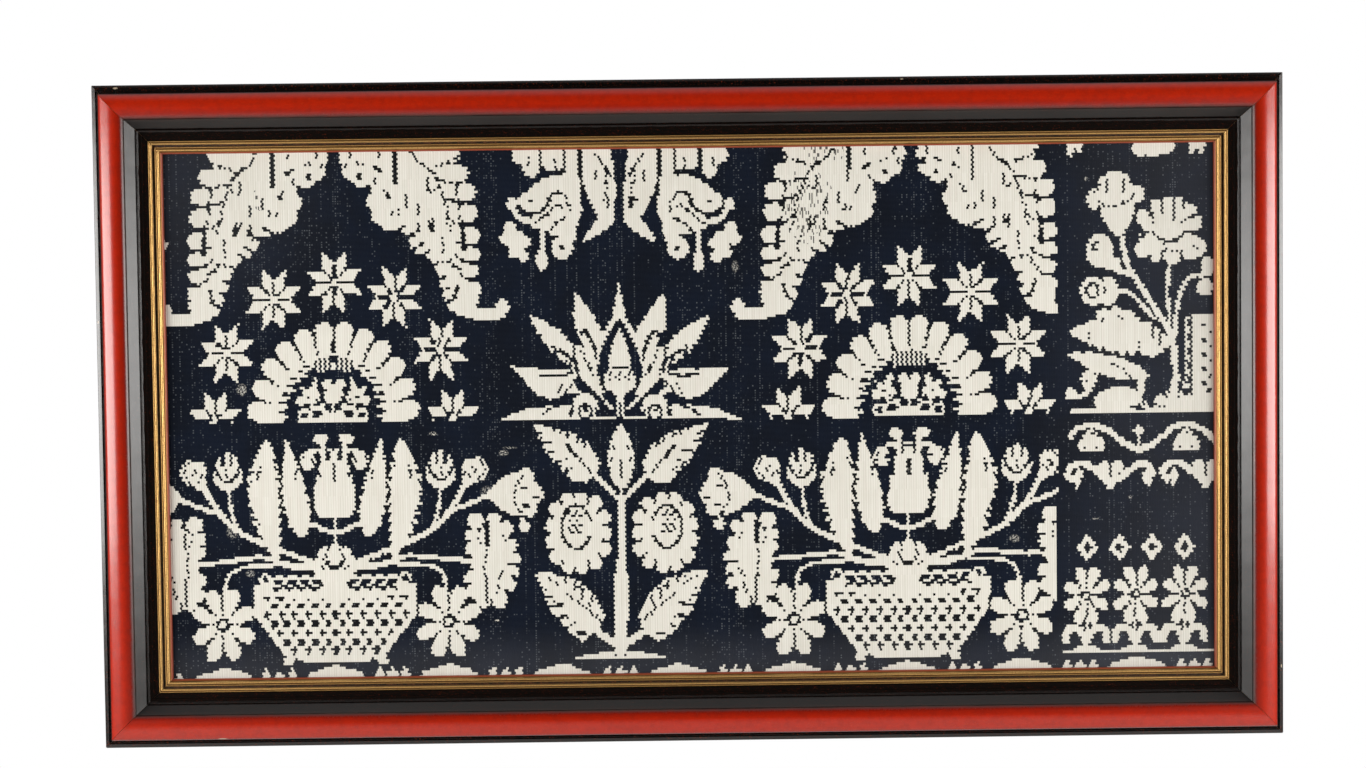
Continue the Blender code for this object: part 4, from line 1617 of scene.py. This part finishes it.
@dataclass(frozen=True)
class WovenCloth:
    """Indigo and undyed double weave, ribbed, specked, greyed towards its rims and worn in places."""

    steps_a_face: int
    step_x: float
    step_z: float
    width: float
    height: float
    indigo: Colour = (0.0028, 0.0062, 0.0165)
    blue_black: Colour = (0.0020, 0.0038, 0.0095)
    # Brown-black: painted shade where the figure hems in the dyed ground, and the dark of broken threads.
    brown_black: Colour = (0.0060, 0.0056, 0.0048)
    undyed: Colour = (0.87, 0.85, 0.775)
    # Cream: a real tone in blots, and the painted shade in the furrows.
    cream: Colour = (0.67, 0.64, 0.55)
    blush: Colour = (0.84, 0.785, 0.72)
    # Speck: the undyed layer showing through, and the faint painted highlight on the pick crests.
    speck: Colour = (0.30, 0.33, 0.36)
    # Grey that the colours are mixed towards near the rims.
    veil_colour: Colour = (0.26, 0.26, 0.275)

    def material(self) -> bpy.types.Material:
        """The cloth's two layers, read from the piece's chart attribute."""
        material, wiring = new_material("figured_double_weave")
        light, column, row = self.layer(wiring)
        # Share of the figure nearby, for the painted shade of the dyed ground.
        hemmed_shade = wiring.add("Attribute", attribute_name="figure_shade").outputs["Fac"]
        rib = wiring.math("SINE", wiring.product(wiring.axis("x"), math.pi / self.step_x))
        pick = wiring.math("SINE", wiring.product(wiring.axis("z"), 2 * math.pi / self.step_z))
        pale = self.pale(wiring, rib, pick, row, column)
        dark = self.dark(wiring, hemmed_shade, column, row, pick)
        wear = self.wear(wiring)
        light = wiring.math("MAXIMUM", light, wear)
        colour = wiring.blend(light, dark, pale)
        colour = wiring.blend(self.threadbare(wiring, column, row, light), colour, self.brown_black)
        # Mixes the colours towards grey, most at the lower edge, some at the right and the upper left.
        colour = wiring.blend(self.grey_veil(wiring), colour, self.veil_colour)
        relief = wiring.sum(wiring.product(rib, 0.35), wiring.product(pick, 0.25),
                            wiring.product(light, 0.5), 1.0)
        fuzz = wiring.noise(0.0006, detail=3.0, roughness=0.7)
        normal = wiring.bump(relief, 0.55, 0.00025)
        normal = wiring.bump(fuzz, 0.35, 0.0002, normal)
        wiring.finish({
            "Base Color": colour, "Roughness": wiring.rise(light, 0.0, 1.0, 0.82, 0.92), "Normal": normal,
            "Specular IOR Level": 0.03, "Sheen Weight": 0.004, "Sheen Roughness": 0.5,
        })
        return material

    def layer(self, wiring: Wiring) -> tuple[Socket, Socket, Socket]:
        """Which layer is on the face, from the steps packed in each face's number, and the step's place."""
        column = wiring.whole(wiring.sum(wiring.axis("x"), self.width / 2), self.step_x)
        row = wiring.whole(wiring.sum(wiring.axis("z"), self.height / 2), self.step_z)
        side = float(self.steps_a_face)
        bit = wiring.sum(wiring.math("MODULO", column, side),
                         wiring.product(wiring.math("MODULO", row, side), side))
        packed = wiring.add("Attribute", attribute_name="steps").outputs["Fac"]
        shifted = wiring.math("DIVIDE", wiring.sum(packed, 0.5), wiring.math("POWER", 2.0, bit))
        return wiring.math("MODULO", wiring.math("FLOOR", shifted), 2.0), column, row

    def pale(self, wiring: Wiring, rib: Socket, pick: Socket, row: Socket, column: Socket) -> Socket:
        """The undyed layer: cream ribs with painted shade in the furrows between ribs and picks, a blush
        here and there, no two threads quite alike.
        """
        stripe = wiring.noise((0.0035, 1.0, 0.060), detail=3.0, roughness=0.6)
        blot = wiring.noise((0.035, 1.0, 0.050), detail=3.0)
        thread = wiring.lot(column, wiring.whole(row, 24.0), 3.0)
        # Painted shade in the furrows between the ribs and between the picks, plus a random tone for each
        # thread.
        furrow_shade_and_thread_tone = wiring.sum(wiring.rise(rib, -1.0, 0.4, 0.42, 0.0), wiring.rise(pick, -1.0, 0.5, 0.10, 0.0),
                            wiring.product(thread, 0.32))
        colour = wiring.blend(wiring.rise(stripe, 0.45, 0.75, 0.0, 0.8), self.undyed, self.blush)
        colour = wiring.blend(wiring.rise(blot, 0.45, 0.8, 0.0, 0.35), colour, self.cream)
        return wiring.blend(furrow_shade_and_thread_tone, colour, self.cream)

    def dark(self, wiring: Wiring, hemmed_shade: Socket, column: Socket, row: Socket, pick: Socket) -> Socket:
        """The dyed layer: indigo, with painted shade in brown-black where the figure hems it in, and specks
        of the layer below.
        """
        cloud = wiring.noise((0.070, 1.0, 0.070), detail=4.0, roughness=0.6)
        colour = wiring.blend(wiring.rise(cloud, 0.35, 0.65), self.indigo, self.blue_black)
        # Painted shade: brown-black where the figure lies close round the dyed ground.
        colour = wiring.blend(wiring.rise(hemmed_shade, 0.35, 0.75), colour, self.brown_black)
        cell_x = wiring.whole(column, 2.0)
        cell_z = wiring.whole(row, 2.0)
        draw = wiring.lot(cell_x, cell_z, 11.0)
        lane = wiring.lot(cell_x, 0.0, 5.0)
        patchy = wiring.noise((0.050, 1.0, 0.045), detail=3.0)
        odds = wiring.sum(wiring.product(wiring.math("POWER", lane, 4.0), 0.75),
                          wiring.rise(patchy, 0.45, 0.80, 0.0, 0.12), 0.015)
        chosen = wiring.math("LESS_THAN", draw, odds)
        in_x = wiring.math("MODULO", column, 2.0)
        in_z = wiring.math("MODULO", row, 2.0)
        spot = wiring.product(chosen, wiring.math("SUBTRACT", 1.0, in_x), wiring.math("SUBTRACT", 1.0, in_z))
        strength = wiring.product(spot, wiring.rise(wiring.lot(cell_x, cell_z, 23.0), 0.0, 1.0, 0.08, 0.85))
        # Painted highlight: a faint lighter line along the crest of each pick.
        colour = wiring.blend(wiring.rise(pick, -1.0, 1.0, 0.0, 0.035), colour, self.speck)
        return wiring.blend(wiring.product(strength, 0.36), colour, self.speck)

    def threadbare(self, wiring: Wiring, column: Socket, row: Socket, light: Socket) -> Socket:
        """Short dark dashes where the undyed threads have broken."""
        worn = wiring.math("MAXIMUM", wiring.patch(118, 205, 30, 45), wiring.patch(-428, 214, 7, 14))
        worn = wiring.math("MAXIMUM", worn, wiring.patch(135, 258, 26, 12))
        dash = wiring.lot(column, wiring.whole(row, 3.0), 31.0)
        return wiring.product(wiring.math("LESS_THAN", dash, wiring.product(worn, 0.20)), light, 0.85)

    def wear(self, wiring: Wiring) -> Socket:
        """The small pale scars on the dyed layer."""
        total: Socket | float = 0.0
        for x, z, rx, rz, depth in (
            (-258, -19, 4.5, 2.4, 0.8), (-188, -39, 5.5, 3.4, 0.75), (-182, -34, 8.5, 1.5, 0.4),
            (-448, 27, 6.0, 7.0, 0.75), (-197, -207, 2.8, 1.3, 0.9), (-443, -157, 5.5, 4.0, 0.6),
            (-460, -115, 7.0, 8.0, 0.45), (45, 144, 4.0, 7.0, 0.45), (322, -131, 6.5, 4.5, 0.6),
            (403, -112, 4.2, 1.6, 0.55), (438, -91, 2.4, 1.8, 0.6), (-205, -78, 8.0, 7.0, 0.4),
            (213, -60, 8.0, 2.0, 0.5), (395, 227, 2.0, 2.6, 0.8),
        ):
            total = wiring.math("MAXIMUM", total, wiring.product(wiring.patch(x, z, rx, rz), depth))
        grain = wiring.noise((0.0016, 1.0, 0.0016), detail=2.0)
        return wiring.product(total, wiring.rise(grain, 0.44, 0.60))

    def grey_veil(self, wiring: Wiring) -> Socket:
        """How far the colours are veiled: most at the lower edge, some at the right and the upper left."""
        low = wiring.rise(wiring.axis("z"), -0.205, -0.262, 0.0, 0.095)
        right = wiring.rise(wiring.axis("x"), 0.300, 0.520, 0.0, 0.075)
        corner = wiring.product(wiring.rise(wiring.axis("x"), -0.30, -0.50),
                                wiring.rise(wiring.axis("z"), 0.05, 0.24), 0.065)
        uneven = wiring.noise((0.12, 1.0, 0.12), detail=3.0)
        return wiring.product(wiring.sum(low, right, corner), wiring.rise(uneven, 0.2, 0.8, 0.8, 1.2))


@dataclass
class Coverlet:
    """The cloth: one closed sheet with the solid's slack, its layers puffed between the figures' edges."""

    inset: float = 0.0495
    slip_edge: float = 0.0682
    front: float = 0.0077
    thickness: float = 0.0016
    slack: float = 0.0008
    even_slack: float = 0.62
    slack_waves: tuple[tuple[float, float, float], ...] = ((0.22, 7.1, 1.3), (0.16, -2.6, 4.3))
    columns: int = 302
    rows: int = 157
    steps_a_face: int = 3
    puff: float = 0.00022
    pattern: CoverletPattern = field(default_factory=CoverletPattern)

    @property
    def width(self) -> float:
        """The sheet's width in the rabbet."""
        return FRAME_WIDTH - 2 * self.inset

    @property
    def height(self) -> float:
        """The sheet's height in the rabbet."""
        return FRAME_HEIGHT - 2 * self.inset

    def slack_at(self, x: float, z: float) -> float:
        """How far the stretched cloth stands forward: nothing at the slip, soft waves between."""
        u = x / (FRAME_WIDTH / 2 - self.slip_edge)
        v = z / (FRAME_HEIGHT / 2 - self.slip_edge)
        if abs(u) >= 1 or abs(v) >= 1:
            return 0.0
        waves = sum(share * math.sin(across * u + up * v) for share, across, up in self.slack_waves)
        return self.slack * (1 - u**4) * (1 - v**4) * (self.even_slack + waves)

    def cell_middles(self, faces: int, length: float) -> np.ndarray:
        """For each step along a row or column of faces, the middle of its cell of two by two steps."""
        steps = faces * self.steps_a_face
        return ((np.arange(steps) // 2 * 2 + 1) * length / steps - length / 2) / MM

    def figure(self) -> np.ndarray:
        """The layer on the face at each step, rows up and columns across."""
        across, up = np.meshgrid(self.cell_middles(self.columns, self.width),
                                 self.cell_middles(self.rows, self.height))
        return self.pattern.lay(across, up)

    def packed(self, figure: np.ndarray) -> np.ndarray:
        """Each face's steps as the binary digits of one number."""
        side = self.steps_a_face
        blocks = figure.reshape(self.rows, side, self.columns, side)
        total = np.zeros((self.rows, self.columns))
        for row in range(side):
            for column in range(side):
                total += blocks[:, row, :, column] * 2.0 ** (column + side * row)
        return total

    def softened(self, field_: np.ndarray, radius: int) -> np.ndarray:
        """A field blurred by a few box passes, its rims repeated."""
        for _ in range(2):
            for axis in (0, 1):
                padded = np.pad(field_, [(radius, radius) if n == axis else (0, 0) for n in (0, 1)], "edge")
                sums = np.cumsum(padded, axis=axis)
                sums = np.insert(sums, 0, 0.0, axis=axis)
                count = field_.shape[axis]
                high = np.take(sums, np.arange(2 * radius + 1, 2 * radius + 1 + count), axis=axis)
                low = np.take(sums, np.arange(count), axis=axis)
                field_ = (high - low) / (2 * radius + 1)
        return field_

    def at_corners(self, steps: np.ndarray) -> np.ndarray:
        """A field of steps read at the faces' corners."""
        side = self.steps_a_face
        rows = np.clip(np.arange(self.rows + 1) * side, 0, steps.shape[0] - 1)
        columns = np.clip(np.arange(self.columns + 1) * side, 0, steps.shape[1] - 1)
        return steps[np.ix_(rows, columns)]

    def build(self) -> bpy.types.Object:
        """Makes the sheet, its chart and its finish.

        Returns:
            The finished cloth.
        """
        figure = self.figure()
        steps = self.packed(figure)
        # Blurred share of the figure, kept for the painted shade of the dyed ground hemmed in by it.
        figure_shade = self.at_corners(self.softened(figure.astype(float), 4))
        edge = self.softened(figure.astype(float), 2)
        swell = self.at_corners(1.0 - 4.0 * edge * (1.0 - edge))
        mesh = bmesh.new()
        bmesh.ops.create_grid(mesh, x_segments=self.columns, y_segments=self.rows, size=0.5,
                              matrix=Matrix.Rotation(math.pi / 2, 4, "X"))
        figure_shade_layer = mesh.verts.layers.float.new("figure_shade")
        for vert in mesh.verts:
            column = round((vert.co.x + 0.5) * self.columns)
            row = round((vert.co.z + 0.5) * self.rows)
            vert[figure_shade_layer] = figure_shade[row, column]
            vert.co.x *= self.width
            vert.co.z *= self.height
            stand = self.slack_at(vert.co.x, vert.co.z)
            free = min(1.0, stand / (self.slack * 0.15)) if stand > 0 else 0.0
            vert.co.y = -self.front - stand - self.puff * free * swell[row, column]
        step_layer = mesh.faces.layers.float.new("steps")
        for face in mesh.faces:
            centre = face.calc_center_median()
            column = int((centre.x / self.width + 0.5) * self.columns)
            row = int((centre.z / self.height + 0.5) * self.rows)
            face[step_layer] = steps[row, column]
            face.smooth = True
        back = bmesh.ops.solidify(mesh, geom=mesh.faces[:], thickness=self.thickness)
        LOG.info("cloth: %d faces, %d in its back and rim", len(mesh.faces), len(back["geom"]))
        bmesh.ops.recalc_face_normals(mesh, faces=mesh.faces[:])
        cloth = WovenCloth(
            self.steps_a_face, self.width / (self.columns * self.steps_a_face),
            self.height / (self.rows * self.steps_a_face), self.width, self.height,
        )
        piece = add_piece("coverlet_cloth", mesh, (cloth.material(),), "coverlet")
        return piece


@dataclass
class Studio:
    """The camera at the photograph's place, two side lights, a pale floor and a white surround."""

    focal_px: float = 2006.0
    picture_width: float = 1366.0
    sensor: float = 36.0
    shift: tuple[float, float, float] = (0.0085, 0.0276, 1.9973)
    turns: tuple[float, float, float] = (2.07, -0.25, -0.69)
    reference_height: float = 0.0128
    light_place: tuple[float, float, float] = (2.16, -1.08, 0.04)
    light_aim: tuple[float, float, float] = (0.26, 0.0, 0.0)
    light_size: tuple[float, float] = (1.95, 0.80)
    light_power: float = 53.0
    floor_height: float = -1.05
    floor_size: float = 7.0

    def camera(self) -> bpy.types.Object:
        """Places the camera by its fit to the photograph, whose depth starts at the frame's outer lip."""
        rx, ry, rz = (math.radians(turn) for turn in self.turns)
        turned = Matrix.Rotation(rz, 3, "Z") @ Matrix.Rotation(ry, 3, "Y") @ Matrix.Rotation(rx, 3, "X")
        eye = -(turned.transposed() @ Vector(self.shift))
        to_world = Matrix(((1, 0, 0), (0, 0, 1), (0, -1, 0)))
        right, down, ahead = (to_world @ turned.row[number] for number in range(3))
        place = to_world @ eye - Vector((0.0, self.reference_height, 0.0))
        data = bpy.data.cameras.new("camera")
        data.sensor_width = self.sensor
        data.lens = self.focal_px / self.picture_width * self.sensor
        data.clip_end = 50.0
        camera = bpy.data.objects.new("camera", data)
        pose = Matrix((right, -down, -ahead)).transposed().to_4x4()
        camera.matrix_world = Matrix.Translation(place) @ pose
        bpy.context.scene.collection.objects.link(camera)
        bpy.context.scene.camera = camera
        return camera

    def side_light(self, name: str, sign: int) -> bpy.types.Object:
        """Hangs one large soft light beside the camera, facing the cloth."""
        data = bpy.data.lights.new(name, "AREA")
        data.shape = "RECTANGLE"
        data.size, data.size_y = self.light_size
        data.energy = self.light_power
        data.color = (1.0, 0.985, 0.965)
        light = bpy.data.objects.new(name, data)
        place = Vector((sign * self.light_place[0], self.light_place[1], self.light_place[2]))
        aim = Vector((sign * self.light_aim[0], self.light_aim[1], self.light_aim[2])) - place
        light.matrix_world = Matrix.Translation(place) @ aim.to_track_quat("-Z", "Y").to_matrix().to_4x4()
        bpy.context.scene.collection.objects.link(light)
        return light

    def floor(self) -> bpy.types.Object:
        """Lays a plain pale floor under and in front of the frame."""
        mesh = bmesh.new()
        bmesh.ops.create_grid(mesh, x_segments=1, y_segments=1, size=self.floor_size / 2)
        bmesh.ops.translate(mesh, verts=mesh.verts[:], vec=(0.0, -1.6, self.floor_height))
        data = bpy.data.meshes.new("floor")
        mesh.to_mesh(data)
        mesh.free()
        material, wiring = new_material("pale_floor")
        shade = wiring.blend(wiring.noise(0.4, detail=2.0), (0.80, 0.79, 0.77), (0.84, 0.83, 0.82))
        wiring.finish({"Base Color": shade, "Roughness": 0.6})
        data.materials.append(material)
        floor = bpy.data.objects.new("floor", data)
        bpy.context.scene.collection.objects.link(floor)
        return floor

    def surround(self) -> None:
        """Sets the surround: white to the eye, a dark room with a pale ceiling for reflections."""
        world = bpy.data.worlds.new("white_surround")
        world.use_nodes = True
        wiring = Wiring(world.node_tree)
        direction = wiring.feed(wiring.add("SeparateXYZ"), {0: wiring.add("TexCoord").outputs["Generated"]})
        front = wiring.rise(direction.outputs["Y"], -0.75, 0.2, 0.006, 0.07)
        above = wiring.rise(direction.outputs["Z"], 0.62, 0.97, 0.0, 0.50)
        lit = wiring.add("Background")
        wiring.feed(lit, {"Color": (1.0, 1.0, 1.0), "Strength": wiring.sum(front, above)})
        seen = wiring.add("Background")
        wiring.feed(seen, {"Color": (1.0, 1.0, 1.0), "Strength": 1.0})
        choice = wiring.add("MixShader")
        to_camera = wiring.add("LightPath").outputs["Is Camera Ray"]
        wiring.feed(choice, {0: to_camera, 1: lit.outputs[0], 2: seen.outputs[0]})
        wiring.tree.links.new(choice.outputs[0], wiring.add("OutputWorld").inputs[0])
        bpy.context.scene.world = world

    def build(self) -> None:
        """Sets up everything round the object."""
        self.camera()
        self.side_light("light_left", -1)
        self.side_light("light_right", 1)
        self.floor()
        self.surround()
        bpy.context.scene.view_settings.view_transform = "Standard"


def dress_board(finish: FibreBoard) -> None:
    """Gives the carried-over backing board its finish."""
    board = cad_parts["backing_board"]
    board.data.materials.clear()
    board.data.materials.append(finish.material())


def main() -> None:
    """Builds the studio and the dressed pieces, and logs their face counts."""
    logging.basicConfig(level=logging.INFO, format="%(name)s: %(message)s")
    Studio().build()
    wood = BareWood().material()
    sticks = Moulding(shown=Lacquer().material(), hidden=wood).build()
    sticks += Slip(shown=Gilding().material(), hidden=wood).build()
    for piece in [*sticks, Coverlet().build()]:
        LOG.info("%s: %d faces", piece.name, len(piece.data.polygons))
    dress_board(FibreBoard())
    LOG.info("backing_board: kept from the solids, with its own finish")
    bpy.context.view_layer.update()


if __name__ == "__main__":
    main()
